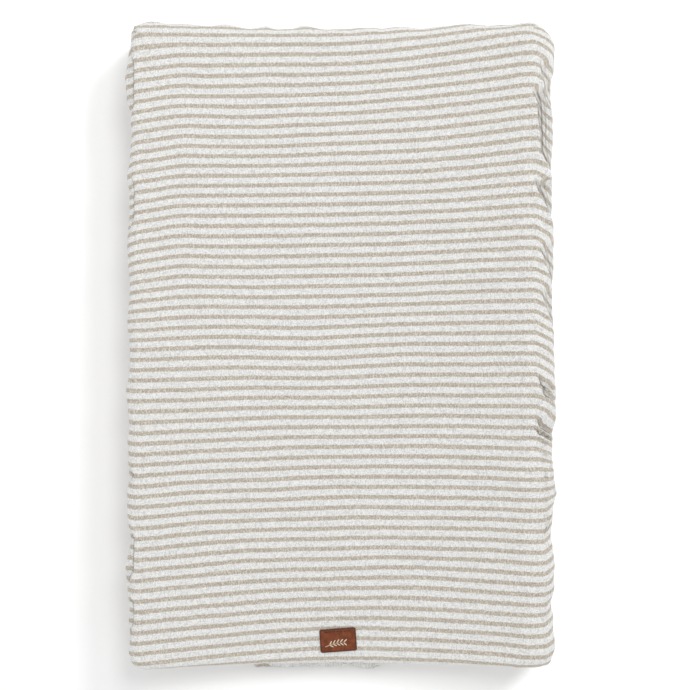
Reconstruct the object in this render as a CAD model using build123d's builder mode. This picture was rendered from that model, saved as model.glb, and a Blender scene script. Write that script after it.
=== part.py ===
from build123d import *

import math
import os

# Contoured baby changing pad in a fitted muslin cover, built up from the inside out.
#
# A foam core with two raised sides and a wadding sheet sits in a coated casing that closes with a
# zip underneath. A cloth cover goes over it all, and an elastic in its hem draws it in underneath.
#
# X runs across the pad, Y runs from the foot end (-Y, where the leather patch is) to the head end,
# and Z is up. The origin is on the floor, in the middle of the pad. All sizes are in millimetres.

# ------------------------------------------------------------------ outline of the covered pad
cover_width = 500.0  # across, where the covered pad stands on the floor
cover_length = 776.0  # from foot to head, at the floor
trough_floor = 52.0  # height of the cloth in the middle of the trough
trough_radius = 480.0  # of the hollow that the baby lies in
side_lean = 3.0  # degrees that the long walls lean in
end_lean = 8.0  # degrees that the end walls lean in
ridge_radius = 24.0  # rounding along the top of each raised side
edge_radius = 16.0  # rounding round both ends and down the four corners

# ------------------------------------------------------------------ layers, from the outside in
cloth = 2.0  # crinkled double gauze
cover_slack = 3.0  # between the cover and the casing
casing_wall = 1.0
casing_slack = 0.5  # between the casing and what fills it
wadding = 5.0  # on top of the foam only
wadding_margin = 3.0  # the wadding stops this far inside the foam's walls
seam_drop = 14.0  # the casing's top seam runs this far under its top surface

# ------------------------------------------------------------------ hem, on the floor
hem_height = 5.2  # the gathered tunnel, flattened by the pad
hem_width = 18.0
hem_cloth = 1.5  # each layer of the tunnel
hem_inset = 52.0  # from the cover's outline to the tunnel's open side
hem_corner = 34.0  # corner radius of the tunnel's open side
lap_overlap = 4.0  # the cover's edge goes this far into the tunnel
lap_clearance = 0.1
elastic_width = 10.0
elastic_thickness = 1.4
thread_width = 0.6
thread_inset = 9.0  # from the tunnel's open side to its row of stitches
thread_clearance = 0.2
corner_seam_radius = 1.0
corner_seam_rise = 18.0  # the corner seams end this far above the trough's lowest point

# ------------------------------------------------------------------ zip, under the pad
zip_margin = 26.0  # from the hem's inner side to the end of the tapes
tape_end = 10.0  # the tapes run on past the coils by this
tape_hold = 8.0  # of each tape over the edge of its bottom panel
tape_thickness = 0.5
coil_height = 2.2
coil_width = 2.6
coil_gap = 1.4  # between the coils, where the slider's neck passes
panel_clearance = 3.5  # from each side of the slider to the edge of the bottom panel
stop_length = 3.0
fit = 0.2  # clearance round the slider, and between soft layers
slider_length = 11.0
flange_clearance = 0.4  # from the coils to the slider's side walls
slider_corner = 1.8
slider_plate = 1.0
slider_wall = 0.8
slider_wall_rise = 1.1  # of the side walls above the lower plate
neck_length = 3.5
arch_length = 7.2
arch_width = 1.6
arch_bar = 0.9
arch_room = 1.1  # between the arch and the slider's plate
pull_length = 24.0
pull_width = 6.0
pull_thickness = 0.9
pull_corner = 2.4
pull_hole_radius = 1.2
pull_clearance = 0.4  # from the pull's window to the arch

# ------------------------------------------------------------------ foam
glue_line = 5.0  # top of the base slab, above the foam's lowest point in the trough
bolster_toe = 92.0  # where each raised side starts, from the middle

# ------------------------------------------------------------------ small parts
dot_radius = 4.0
dot_thickness = 0.7
dot_pitch_x = 34.0
dot_pitch_y = 64.0
dot_first_x = 36.0
dot_margin = 2.0  # from the outermost dots to the hem
patch_width = 43.5
patch_height = 27.8
patch_thickness = 1.6
patch_corner = 2.2
patch_x = -4.0
patch_from_foot = 35.0  # from the foot end, at the floor, to the middle of the patch
patch_turn = 4.0  # degrees
patch_lift = 0.1
stitch_length = 3.0
stitch_width = 0.8
stitch_corner = 0.35
stitch_height = 0.5
stitch_pitch = 4.4
stitch_count = 7
stitch_margin = 3.2  # from the patch's upper edge
care_width = 30.0
care_length = 42.0
care_thickness = 0.4
care_x = 110.0

# ------------------------------------------------------------------ worked-out places
trough_centre = trough_floor + trough_radius
tall = trough_floor + trough_radius / 2  # above every ridge
reach = cover_length  # longer than half of anything
side_slope = math.tan(math.radians(side_lean))
end_slope = math.tan(math.radians(end_lean))

casing_inset = cloth + cover_slack
lining_inset = casing_inset + casing_wall
core_inset = lining_inset + casing_slack
foam_roof = core_inset + wadding

lap_bottom = hem_cloth + lap_clearance
lap_top = lap_bottom + cloth
panel_bottom = hem_height + 2 * fit
panel_top = panel_bottom + casing_wall
foam_floor = panel_top + fit
slab_top = trough_floor - foam_roof + glue_line

hem_room_x = cover_width / 2 - hem_inset - hem_width  # half the opening inside the hem
hem_room_y = cover_length / 2 - hem_inset - hem_width
elastic_inset = hem_width - hem_cloth - elastic_width - fit
elastic_bottom = hem_height / 2 - elastic_thickness / 2

tape_half = hem_room_y - zip_margin
zip_half = tape_half - tape_end
tape_bottom = panel_top + fit / 2
tape_top = tape_bottom + tape_thickness
coil_top = tape_bottom - fit / 2
coil_bottom = coil_top - coil_height
coil_inner = coil_gap / 2
coil_middle = coil_inner + coil_width / 2
coil_outer = coil_inner + coil_width
slider_width = 2 * (coil_outer + flange_clearance + slider_wall)
neck_width = coil_gap - 2 * fit
panel_gap = slider_width + 2 * panel_clearance
tape_width = panel_gap / 2 + tape_hold - coil_inner
plate_top = coil_bottom - fit
plate_bottom = plate_top - slider_plate
back_bottom = tape_top + fit
back_top = back_bottom + slider_plate
pull_z = plate_bottom - arch_room / 2
slider_y = zip_half - slider_length / 2 - fit

dot_columns = 1 + int((hem_room_x - dot_margin - dot_radius - dot_first_x) // dot_pitch_x)
dot_rows = 1 + 2 * int((hem_room_y - dot_margin - dot_radius) // dot_pitch_y)
patch_top = patch_lift + patch_thickness
patch_y = patch_from_foot - cover_length / 2

sides = {"left": -1, "right": 1}
ends = {"foot": -1, "head": 1}
on_base = (Align.CENTER, Align.CENTER, Align.MIN)  # a box that stands on its place

os.makedirs("parts", exist_ok=True)


def pad_block(inset, floor, roof):
    """A solid with the covered pad's outline, taken in by inset at its walls and by roof on top."""
    half_width = cover_width / 2 - inset / math.cos(math.radians(side_lean))
    half_length = cover_length / 2 - inset / math.cos(math.radians(end_lean))
    with BuildPart() as block:
        with BuildSketch(Plane.XZ) as section:
            with BuildLine():
                Polyline(
                    (floor * side_slope - half_width, floor),
                    (half_width - floor * side_slope, floor),
                    (half_width - tall * side_slope, tall),
                    (tall * side_slope - half_width, tall),
                    close=True,
                )
            make_face()
            with Locations((0, trough_centre)):
                Circle(trough_radius + roof, mode=Mode.SUBTRACT)
            fillet(section.vertices().group_by(Axis.Y)[-1], ridge_radius - inset)
        extrude(amount=reach, both=True)
        with BuildSketch(Plane.YZ):
            with BuildLine():
                Polyline(
                    (floor * end_slope - half_length, floor),
                    (half_length - floor * end_slope, floor),
                    (half_length - tall * end_slope, tall),
                    (tall * end_slope - half_length, tall),
                    close=True,
                )
            make_face()
        extrude(amount=reach, both=True, mode=Mode.INTERSECT)
        walls = block.faces().sort_by(Axis.Y)
        rims = walls[0].edges() + walls[-1].edges()
        fillet(rims.filter_by(lambda rim: rim.center().Z > floor + 1), edge_radius - inset)
    return block.part


def hem_ring(inner, outer, bottom, top):
    """A flat ring under the pad, between two distances in from the hem tunnel's open side."""
    with BuildPart() as ring:
        with BuildSketch(Plane.XY.offset(bottom)):
            for inset, mode in ((inner, Mode.ADD), (outer, Mode.SUBTRACT)):
                RectangleRounded(
                    cover_width - 2 * (hem_inset + inset),
                    cover_length - 2 * (hem_inset + inset),
                    hem_corner - inset,
                    mode=mode,
                )
        extrude(amount=top - bottom)
    return ring.part


def trough_layer(below, above):
    """The curved layer of space between two heights above the cloth in the trough."""
    with BuildPart() as layer:
        with BuildSketch(Plane.XZ):
            with Locations((0, trough_centre)):
                Circle(trough_radius - below)
                Circle(trough_radius - above, mode=Mode.SUBTRACT)
        extrude(amount=reach, both=True)
    return layer.part


# ------------------------------------------------------------------ foam core
foam_block = pad_block(core_inset, foam_floor, foam_roof)

with BuildPart() as foam_base:
    add(foam_block)
    split(bisect_by=Plane.XY.offset(slab_top), keep=Keep.BOTTOM)
    with Locations((0, 0, foam_floor)):
        Box(
            2 * (coil_inner + tape_width + fit),
            2 * (tape_half + fit),
            back_top + fit - foam_floor,
            align=on_base,
            mode=Mode.SUBTRACT,
        )
foam_base.part.label = "foam_base"
export_step(foam_base.part, "parts/foam_base.step")

for side_name, side in sides.items():
    with BuildPart() as foam_bolster:
        add(foam_block)
        split(bisect_by=Plane.XY.offset(slab_top), keep=Keep.TOP)
        split(bisect_by=Plane(origin=(side * bolster_toe, 0, 0), z_dir=(side, 0, 0)))
    foam_bolster.part.label = f"foam_bolster_{side_name}"
    export_step(foam_bolster.part, f"parts/foam_bolster_{side_name}.step")

with BuildPart() as wadding_sheet:
    add(pad_block(core_inset + wadding_margin, foam_floor, core_inset))
    add(pad_block(core_inset, foam_floor - 1, foam_roof), mode=Mode.SUBTRACT)
wadding_sheet.part.label = "wadding_sheet"
export_step(wadding_sheet.part, "parts/wadding_sheet.step")

# ------------------------------------------------------------------ coated casing
with BuildPart() as casing:
    add(pad_block(casing_inset, panel_bottom, casing_inset))
    add(pad_block(lining_inset, panel_top, lining_inset), mode=Mode.SUBTRACT)

with BuildPart() as above_seam:
    with BuildSketch(Plane.XZ):
        with Locations((0, trough_centre)):
            Circle(trough_radius + casing_inset + seam_drop)
    extrude(amount=reach, both=True)

with BuildPart() as casing_top_panel:
    add(casing.part)
    add(above_seam.part, mode=Mode.INTERSECT)
casing_top_panel.part.label = "casing_top_panel"
export_step(casing_top_panel.part, "parts/casing_top_panel.step")

with BuildPart() as casing_gusset:
    add(casing.part)
    add(above_seam.part, mode=Mode.SUBTRACT)
    split(bisect_by=Plane.XY.offset(panel_top), keep=Keep.TOP)
casing_gusset.part.label = "casing_gusset"
export_step(casing_gusset.part, "parts/casing_gusset.step")

for side_name, side in sides.items():
    with BuildPart() as casing_bottom:
        add(casing.part)
        split(bisect_by=Plane.XY.offset(panel_top), keep=Keep.BOTTOM)
        split(bisect_by=Plane(origin=(0, 0, 0), z_dir=(side, 0, 0)))
        with Locations((0, 0, panel_bottom)):
            Box(panel_gap, 2 * tape_half, casing_wall, align=on_base, mode=Mode.SUBTRACT)
    casing_bottom.part.label = f"casing_bottom_{side_name}"
    export_step(casing_bottom.part, f"parts/casing_bottom_{side_name}.step")

with BuildPart() as grip_dots:
    dots_span = dot_pitch_x * (dot_columns - 1)
    with BuildSketch(Plane.XY.offset(panel_bottom)):
        for side in sides.values():
            with Locations((side * (dot_first_x + dots_span / 2), 0)):
                with GridLocations(dot_pitch_x, dot_pitch_y, dot_columns, dot_rows):
                    Circle(dot_radius)
    extrude(amount=-dot_thickness)
grip_dots.part.label = "grip_dots"
export_step(grip_dots.part, "parts/grip_dots.step")

# ------------------------------------------------------------------ zip
for side_name, side in sides.items():
    with BuildPart() as zip_tape:
        with Locations((side * (coil_inner + tape_width / 2), 0, tape_bottom)):
            Box(tape_width, 2 * tape_half, tape_thickness, align=on_base)
    zip_tape.part.label = f"zip_tape_{side_name}"
    export_step(zip_tape.part, f"parts/zip_tape_{side_name}.step")

    with BuildPart() as zip_coil:
        with BuildSketch(Plane.XZ):
            with Locations((side * coil_middle, coil_bottom + coil_height / 2)):
                RectangleRounded(coil_width, coil_height, coil_height / 4)
        extrude(amount=zip_half, both=True)
    zip_coil.part.label = f"zip_coil_{side_name}"
    export_step(zip_coil.part, f"parts/zip_coil_{side_name}.step")

with BuildPart() as zip_top_stops:
    stop_y = zip_half + stop_length / 2
    with Locations((-coil_middle, stop_y, coil_bottom), (coil_middle, stop_y, coil_bottom)):
        Box(coil_width, stop_length, coil_height, align=on_base)
zip_top_stops.part.label = "zip_top_stops"
export_step(zip_top_stops.part, "parts/zip_top_stops.step")

with BuildPart() as zip_bottom_stop:
    with Locations((0, -zip_half - stop_length / 2, coil_bottom)):
        Box(2 * coil_outer, stop_length, coil_height, align=on_base)
    fillet(zip_bottom_stop.edges().filter_by(Axis.Y), coil_height / 5)
zip_bottom_stop.part.label = "zip_bottom_stop"
export_step(zip_bottom_stop.part, "parts/zip_bottom_stop.step")

with BuildPart() as zip_slider:
    for low in (plate_bottom, back_bottom):
        with BuildSketch(Plane.XY.offset(low)):
            with Locations((0, slider_y)):
                RectangleRounded(slider_width, slider_length, slider_corner)
        extrude(amount=slider_plate)
    with Locations((0, slider_y + (slider_length - neck_length) / 2, plate_bottom)):
        Box(neck_width, neck_length, back_top - plate_bottom, align=on_base)
    wall_x = (slider_width - slider_wall) / 2
    wall_length = slider_length - 2 * slider_corner
    with Locations((-wall_x, slider_y, plate_bottom), (wall_x, slider_y, plate_bottom)):
        Box(slider_wall, wall_length, slider_plate + slider_wall_rise, align=on_base)
    with BuildSketch(Plane.YZ) as arch_side:
        hanging = (Align.CENTER, Align.MAX)
        with Locations((slider_y, plate_bottom)):
            Rectangle(arch_length, arch_room + arch_bar, align=hanging)
            Rectangle(arch_length - 2 * arch_bar, arch_room, align=hanging, mode=Mode.SUBTRACT)
        fillet(arch_side.vertices().group_by(Axis.Y)[0], arch_bar / 2)
    extrude(amount=arch_width / 2, both=True)
zip_slider.part.label = "zip_slider"
export_step(zip_slider.part, "parts/zip_slider.step")

with BuildPart() as zip_pull:
    window_length = arch_length + pull_clearance
    with BuildSketch(Plane.XY.offset(pull_z - pull_thickness / 2)) as pull_plan:
        with Locations((0, slider_y - pull_length / 2)):
            Rectangle(pull_width, pull_length)
        fillet(pull_plan.vertices().group_by(Axis.Y)[0], pull_corner)
        with Locations((0, slider_y - window_length / 2)):
            Rectangle(arch_width + 2 * pull_clearance, window_length, mode=Mode.SUBTRACT)
        with Locations((0, slider_y - pull_length + pull_width / 2)):
            Circle(pull_hole_radius, mode=Mode.SUBTRACT)
    extrude(amount=pull_thickness)
    with BuildSketch(Plane.YZ):
        with Locations((slider_y, pull_z)):
            Circle(pull_thickness / 2)
    extrude(amount=pull_width / 2, both=True)
zip_pull.part.label = "zip_pull"
export_step(zip_pull.part, "parts/zip_pull.step")

# ------------------------------------------------------------------ cover
with BuildPart() as cover_shell:
    add(pad_block(0, lap_bottom, 0))
    add(pad_block(cloth, lap_top, cloth), mode=Mode.SUBTRACT)
    with BuildSketch(Plane.XY):
        RectangleRounded(
            cover_width - 2 * (hem_inset + lap_overlap),
            cover_length - 2 * (hem_inset + lap_overlap),
            hem_corner - lap_overlap,
        )
    extrude(amount=lap_top + cloth, mode=Mode.SUBTRACT)
cover_shell.part.label = "cover_shell"
export_step(cover_shell.part, "parts/cover_shell.step")

with BuildPart() as cover_hem:
    tunnel_end = hem_width - hem_cloth
    groove = (thread_inset - thread_clearance, thread_inset + thread_width + thread_clearance)
    add(hem_ring(0, hem_width, 0, hem_height))
    add(hem_ring(-1, tunnel_end, hem_cloth, hem_height - hem_cloth), mode=Mode.SUBTRACT)
    add(hem_ring(*groove, 0, thread_width), mode=Mode.SUBTRACT)
cover_hem.part.label = "cover_hem"
export_step(cover_hem.part, "parts/cover_hem.step")

with BuildPart() as hem_elastic:
    elastic_outer = elastic_inset + elastic_width
    add(hem_ring(elastic_inset, elastic_outer, elastic_bottom, elastic_bottom + elastic_thickness))
hem_elastic.part.label = "hem_elastic"
export_step(hem_elastic.part, "parts/hem_elastic.step")

with BuildPart() as hem_stitching:
    add(hem_ring(thread_inset, thread_inset + thread_width, thread_width / 4, thread_width))
hem_stitching.part.label = "hem_stitching"
export_step(hem_stitching.part, "parts/hem_stitching.step")

seam_in = edge_radius - (edge_radius - cloth - cover_slack / 2) / math.sqrt(2)
seam_heights = (lap_top + 2 * corner_seam_radius, trough_floor + corner_seam_rise)
for end_name, end in ends.items():
    for side_name, side in sides.items():
        seam_ends = [
            (
                side * (cover_width / 2 - height * side_slope - seam_in),
                end * (cover_length / 2 - height * end_slope - seam_in),
                height,
            )
            for height in seam_heights
        ]
        with BuildPart() as corner_seam:
            with BuildLine() as run:
                Line(*seam_ends)
            with BuildSketch(Plane(origin=run.line @ 0, z_dir=run.line % 0)):
                Circle(corner_seam_radius)
            sweep()
        corner_seam.part.label = f"corner_seam_{end_name}_{side_name}"
        export_step(corner_seam.part, f"parts/corner_seam_{end_name}_{side_name}.step")

# ------------------------------------------------------------------ leather patch and care label
patch_frame = Plane(origin=(patch_x, patch_y, 0)).rotated((0, 0, patch_turn))

with BuildPart() as label_patch:
    with BuildSketch(patch_frame):
        RectangleRounded(patch_width, patch_height, patch_corner)
    extrude(amount=tall)
    add(trough_layer(patch_lift, patch_top), mode=Mode.INTERSECT)
label_patch.part.label = "label_patch"
export_step(label_patch.part, "parts/label_patch.step")

with BuildPart() as label_stitches:
    with BuildSketch(patch_frame):
        with Locations((0, patch_height / 2 - stitch_margin)):
            with GridLocations(stitch_pitch, 0, stitch_count, 1):
                RectangleRounded(stitch_length, stitch_width, stitch_corner)
    extrude(amount=tall)
    add(trough_layer(patch_top, patch_top + stitch_height), mode=Mode.INTERSECT)
label_stitches.part.label = "label_stitches"
export_step(label_stitches.part, "parts/label_stitches.step")

with BuildPart() as care_label:
    with Locations((care_x, care_length / 2 - hem_room_y, (hem_height - care_thickness) / 2)):
        Box(care_width, care_length, care_thickness, align=on_base)
care_label.part.label = "care_label"
export_step(care_label.part, "parts/care_label.step")
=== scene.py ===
import logging
import math
from dataclasses import dataclass, field
from enum import Enum
from typing import ClassVar

import bpy
import numpy as np
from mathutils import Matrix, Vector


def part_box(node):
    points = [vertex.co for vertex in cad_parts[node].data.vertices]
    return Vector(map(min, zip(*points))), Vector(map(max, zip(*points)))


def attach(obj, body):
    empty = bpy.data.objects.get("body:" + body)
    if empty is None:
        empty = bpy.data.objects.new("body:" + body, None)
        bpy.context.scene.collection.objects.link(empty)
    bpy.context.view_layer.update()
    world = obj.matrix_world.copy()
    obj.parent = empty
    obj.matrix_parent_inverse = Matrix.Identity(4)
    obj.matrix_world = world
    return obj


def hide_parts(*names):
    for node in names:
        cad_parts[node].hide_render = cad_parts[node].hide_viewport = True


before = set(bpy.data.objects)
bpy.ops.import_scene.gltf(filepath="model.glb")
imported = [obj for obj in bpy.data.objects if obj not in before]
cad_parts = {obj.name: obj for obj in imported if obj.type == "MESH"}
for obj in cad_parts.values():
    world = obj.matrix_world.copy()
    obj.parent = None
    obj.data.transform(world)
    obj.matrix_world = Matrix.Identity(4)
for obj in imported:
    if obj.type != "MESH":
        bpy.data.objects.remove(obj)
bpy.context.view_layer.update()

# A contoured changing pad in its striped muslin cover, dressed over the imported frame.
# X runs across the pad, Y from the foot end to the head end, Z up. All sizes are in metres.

NO_LIP = -0.02  # what the lip mask says where no fold is near: a place far inside any lip
Array = np.ndarray
Pair = tuple[float, float]
Triple = tuple[float, float, float]
Colour = tuple[float, float, float, float]
Shape = tuple[Array, list[Array]]
log = logging.getLogger("pad")


class Side(Enum):
    """The pad's four sides, in the order that its border runs round, seen from above."""

    FOOT = 0
    RIGHT = 1
    HEAD = 2
    LEFT = 3


# ---------------------------------------------------------------- numbers
def ease(value: Array, low: float, high: float) -> Array:
    """Climbs from 0 at low to 1 at high along a smooth S.

    Args:
        value: where to read the curve.
        low: the value at which it leaves 0.
        high: the value at which it reaches 1.

    Returns:
        The curve's height at each value.
    """
    share = np.clip((value - low) / (high - low), 0.0, 1.0)
    return share * share * (3.0 - 2.0 * share)


def bump(value: Array, centre: float, width: float) -> Array:
    """A bell of height 1 at centre that has fallen to 1/e at width from it."""
    return np.exp(-(((value - centre) / width) ** 2))


def ripple(points: Array, length: float, seed: int, waves: int = 16) -> Array:
    """A smooth random field in space: the sum of plane waves with mixed directions and phases.

    Args:
        points: places, with the last axis holding x, y and z.
        length: the waves' middle length.
        seed: picks the waves.
        waves: how many waves are summed.

    Returns:
        The field at each place, with a spread of about 1.
    """
    rng = np.random.default_rng(seed)
    way = rng.normal(size=(waves, 3))
    way /= np.linalg.norm(way, axis=1, keepdims=True)
    way *= (math.tau / (length * rng.uniform(0.7, 1.4, waves)))[:, None]
    total = np.sin(points.reshape(-1, 3) @ way.T + rng.uniform(0, math.tau, waves)).sum(axis=1)
    return (total / math.sqrt(waves / 2)).reshape(points.shape[:-1])


def loop_ripple(turn: Array, count: float, seed: int, waves: int = 6) -> Array:
    """A smooth random field along a closed loop: sines with whole numbers of waves near count.

    Args:
        turn: place along the loop, from 0 to 1.
        count: about how many waves go round the loop.
        seed: picks the waves.
        waves: how many sines are summed.

    Returns:
        The field at each place, with a spread of about 1.
    """
    rng = np.random.default_rng(seed)
    numbers = np.round(count * rng.uniform(0.7, 1.35, waves))
    phases = rng.uniform(0, math.tau, waves)
    return np.sin(math.tau * turn[..., None] * numbers + phases).sum(axis=-1) / math.sqrt(waves / 2)


# ---------------------------------------------------------------- meshes
def make_piece(
    name: str, points: Array, faces: list[Array], corner_uv: Array | None = None
) -> bpy.types.Object:
    """Makes a mesh object from whole arrays.

    Args:
        name: the piece's name.
        points: one row of x, y, z for each vertex.
        faces: arrays of vertex numbers, one array for each number of corners.
        corner_uv: one row of u, v for each face corner, in the order of the faces.

    Returns:
        The new object, at the origin, with smooth faces.
    """
    mesh = bpy.data.meshes.new(name)
    corners = np.concatenate([part.reshape(-1) for part in faces]).astype(np.int32)
    sizes = np.concatenate([np.full(len(part), part.shape[1]) for part in faces])
    starts = np.concatenate([[0], np.cumsum(sizes)[:-1]]).astype(np.int32)
    mesh.vertices.add(len(points))
    mesh.vertices.foreach_set("co", np.ascontiguousarray(points, np.float32).reshape(-1))
    mesh.loops.add(len(corners))
    mesh.loops.foreach_set("vertex_index", corners)
    mesh.polygons.add(len(sizes))
    mesh.polygons.foreach_set("loop_start", starts)
    mesh.polygons.foreach_set("use_smooth", np.ones(len(sizes), bool))
    if corner_uv is not None:
        layer = mesh.uv_layers.new(name="cloth")
        layer.data.foreach_set("uv", np.ascontiguousarray(corner_uv, np.float32).reshape(-1))
    mesh.update(calc_edges=True)
    mesh.validate()
    piece = bpy.data.objects.new(name, mesh)
    bpy.context.scene.collection.objects.link(piece)
    return piece


def grid_faces(rows: int, columns: int, closed: bool = False) -> Array:
    """The quads of a grid of points stored row by row.

    Args:
        rows: rows of points.
        columns: points in each row.
        closed: joins each row's last point to its first.

    Returns:
        Four vertex numbers for each quad.
    """
    steps = columns if closed else columns - 1
    row, column = np.meshgrid(np.arange(rows - 1), np.arange(steps), indexing="ij")
    after = (column + 1) % columns
    near, far = row * columns, (row + 1) * columns
    return np.stack([near + column, near + after, far + after, far + column], axis=-1).reshape(-1, 4)


def rounded_loop(half: Pair, radius: float, count: int) -> Array:
    """A closed rounded rectangle about the origin: four quarter circles joined by straights.

    Args:
        half: half its width and half its height.
        radius: of its corners.
        count: points in each quarter circle.

    Returns:
        Its points in x and y, counter-clockwise.
    """
    turn = (np.arange(4)[:, None] + np.linspace(0, 1, count)[None, :]) * math.pi / 2
    sign_x = np.array([1, -1, -1, 1])[:, None]
    sign_y = np.array([1, 1, -1, -1])[:, None]
    x = sign_x * (half[0] - radius) + radius * np.cos(turn)
    y = sign_y * (half[1] - radius) + radius * np.sin(turn)
    return np.stack([x, y], axis=-1).reshape(-1, 2)


def rounded_slab(half: Pair, radius: float, profile: list[Pair], count: int = 6) -> Shape:
    """A closed slab: a rounded rectangle carried along a profile and shut by a fan at each end.

    Args:
        half: half its width and half its height.
        radius: of its corners.
        profile: pairs of inset and height, from the top's middle round the edge to the bottom's.
        count: points in each corner.

    Returns:
        Its points and its faces.
    """
    rings = [
        np.column_stack([
            rounded_loop((half[0] - inset, half[1] - inset), max(radius - inset, radius * 0.1), count),
            np.full(4 * count, height),
        ])
        for inset, height in profile
    ]
    columns = 4 * count
    top, bottom = [0, 0, profile[0][1]], [0, 0, profile[-1][1]]
    points = np.vstack([*rings, [top], [bottom]])
    around = np.arange(columns)
    after = (around + 1) % columns
    last = (len(profile) - 1) * columns
    lid = np.column_stack([around, after, np.full(columns, len(profile) * columns)])
    base = np.column_stack([last + after, last + around, np.full(columns, len(profile) * columns + 1)])
    return points, [grid_faces(len(profile), columns, closed=True)[:, ::-1], lid, base]


def repeated(points: Array, faces: list[Array], moves: Array) -> Shape:
    """Copies a small shape to several places.

    Args:
        points: the shape's points.
        faces: its faces.
        moves: an array of 3 by 4 matrices, one for each copy.

    Returns:
        All copies' points and faces.
    """
    placed = np.einsum("nij,pj->npi", moves[:, :, :3], points) + moves[:, None, :, 3]
    shift = (np.arange(len(moves)) * len(points))[:, None, None]
    return placed.reshape(-1, 3), [(part[None] + shift).reshape(-1, part.shape[1]) for part in faces]


def carried(path: Array, across: Array, up: Array, profile: Array, closed: bool = False) -> Shape:
    """Carries a closed profile along a path.

    Args:
        path: the path's points.
        across: the profile's first direction at each point.
        up: its second direction at each point.
        profile: its points in those two directions, for all the path or for each of its points.
        closed: joins the path's end to its start. An open one is shut by a fan at each end.

    Returns:
        The points and the faces.
    """
    profile = np.broadcast_to(profile, (len(path), *profile.shape[-2:]))
    rings = path[:, None] + profile[..., :1] * across[:, None] + profile[..., 1:] * up[:, None]
    count, around = rings.shape[:2]
    points = rings.reshape(-1, 3)
    if closed:
        row, column = np.meshgrid(np.arange(count), np.arange(around), indexing="ij")
        after, beside = (row + 1) % count, (column + 1) % around
        near, far = row * around, after * around
        corners = [near + column, near + beside, far + beside, far + column]
        return points, [np.stack(corners, axis=-1).reshape(-1, 4)]
    ends = np.stack([rings[0].mean(axis=0), rings[-1].mean(axis=0)])
    column = np.arange(around)
    beside = (column + 1) % around
    last = (count - 1) * around
    first_fan = np.column_stack([beside, column, np.full(around, count * around)])
    last_fan = np.column_stack([last + column, last + beside, np.full(around, count * around + 1)])
    return np.vstack([points, ends]), [grid_faces(count, around, closed=True), first_fan, last_fan]


def ring(radius_x: float, radius_y: float, count: int) -> Array:
    """A closed oval's points."""
    turn = np.arange(count) * math.tau / count
    return np.column_stack([radius_x * np.cos(turn), radius_y * np.sin(turn)])


def grain_shape(length: float, width: float, height: float, rings: int = 5, around: int = 6) -> Shape:
    """A long closed grain along x: ovals whose size follows the root of a sine from end to end.

    Args:
        length: along x.
        width: along y.
        height: along z.
        rings: how many ovals.
        around: points in each.

    Returns:
        The points and the faces.
    """
    step = np.linspace(0.06, 0.94, rings)
    path = np.column_stack([length * (step - 0.5), 0 * step, 0 * step])
    profile = ring(width / 2, height / 2, around)[None] * np.sqrt(np.sin(math.pi * step))[:, None, None]
    ahead, above = np.tile([0.0, 1.0, 0.0], (rings, 1)), np.tile([0.0, 0.0, 1.0], (rings, 1))
    return carried(path, ahead, above, profile)


def placed_along(places: Array, ahead: Array, above: Array) -> Array:
    """The 3 by 4 matrices that put copies at places, with x turned ahead and z kept above."""
    ahead = ahead / np.linalg.norm(ahead, axis=1, keepdims=True)
    beside = np.cross(above, ahead)
    beside /= np.linalg.norm(beside, axis=1, keepdims=True)
    return np.stack([ahead, beside, np.cross(ahead, beside), places], axis=-1)


def add_mask(piece: bpy.types.Object, name: str, values: Array) -> None:
    """Writes one number for each vertex, which a material reads as an attribute."""
    piece.data.attributes.new(name, "FLOAT", "POINT").data.foreach_set("value", np.asarray(values, np.float32))


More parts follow.
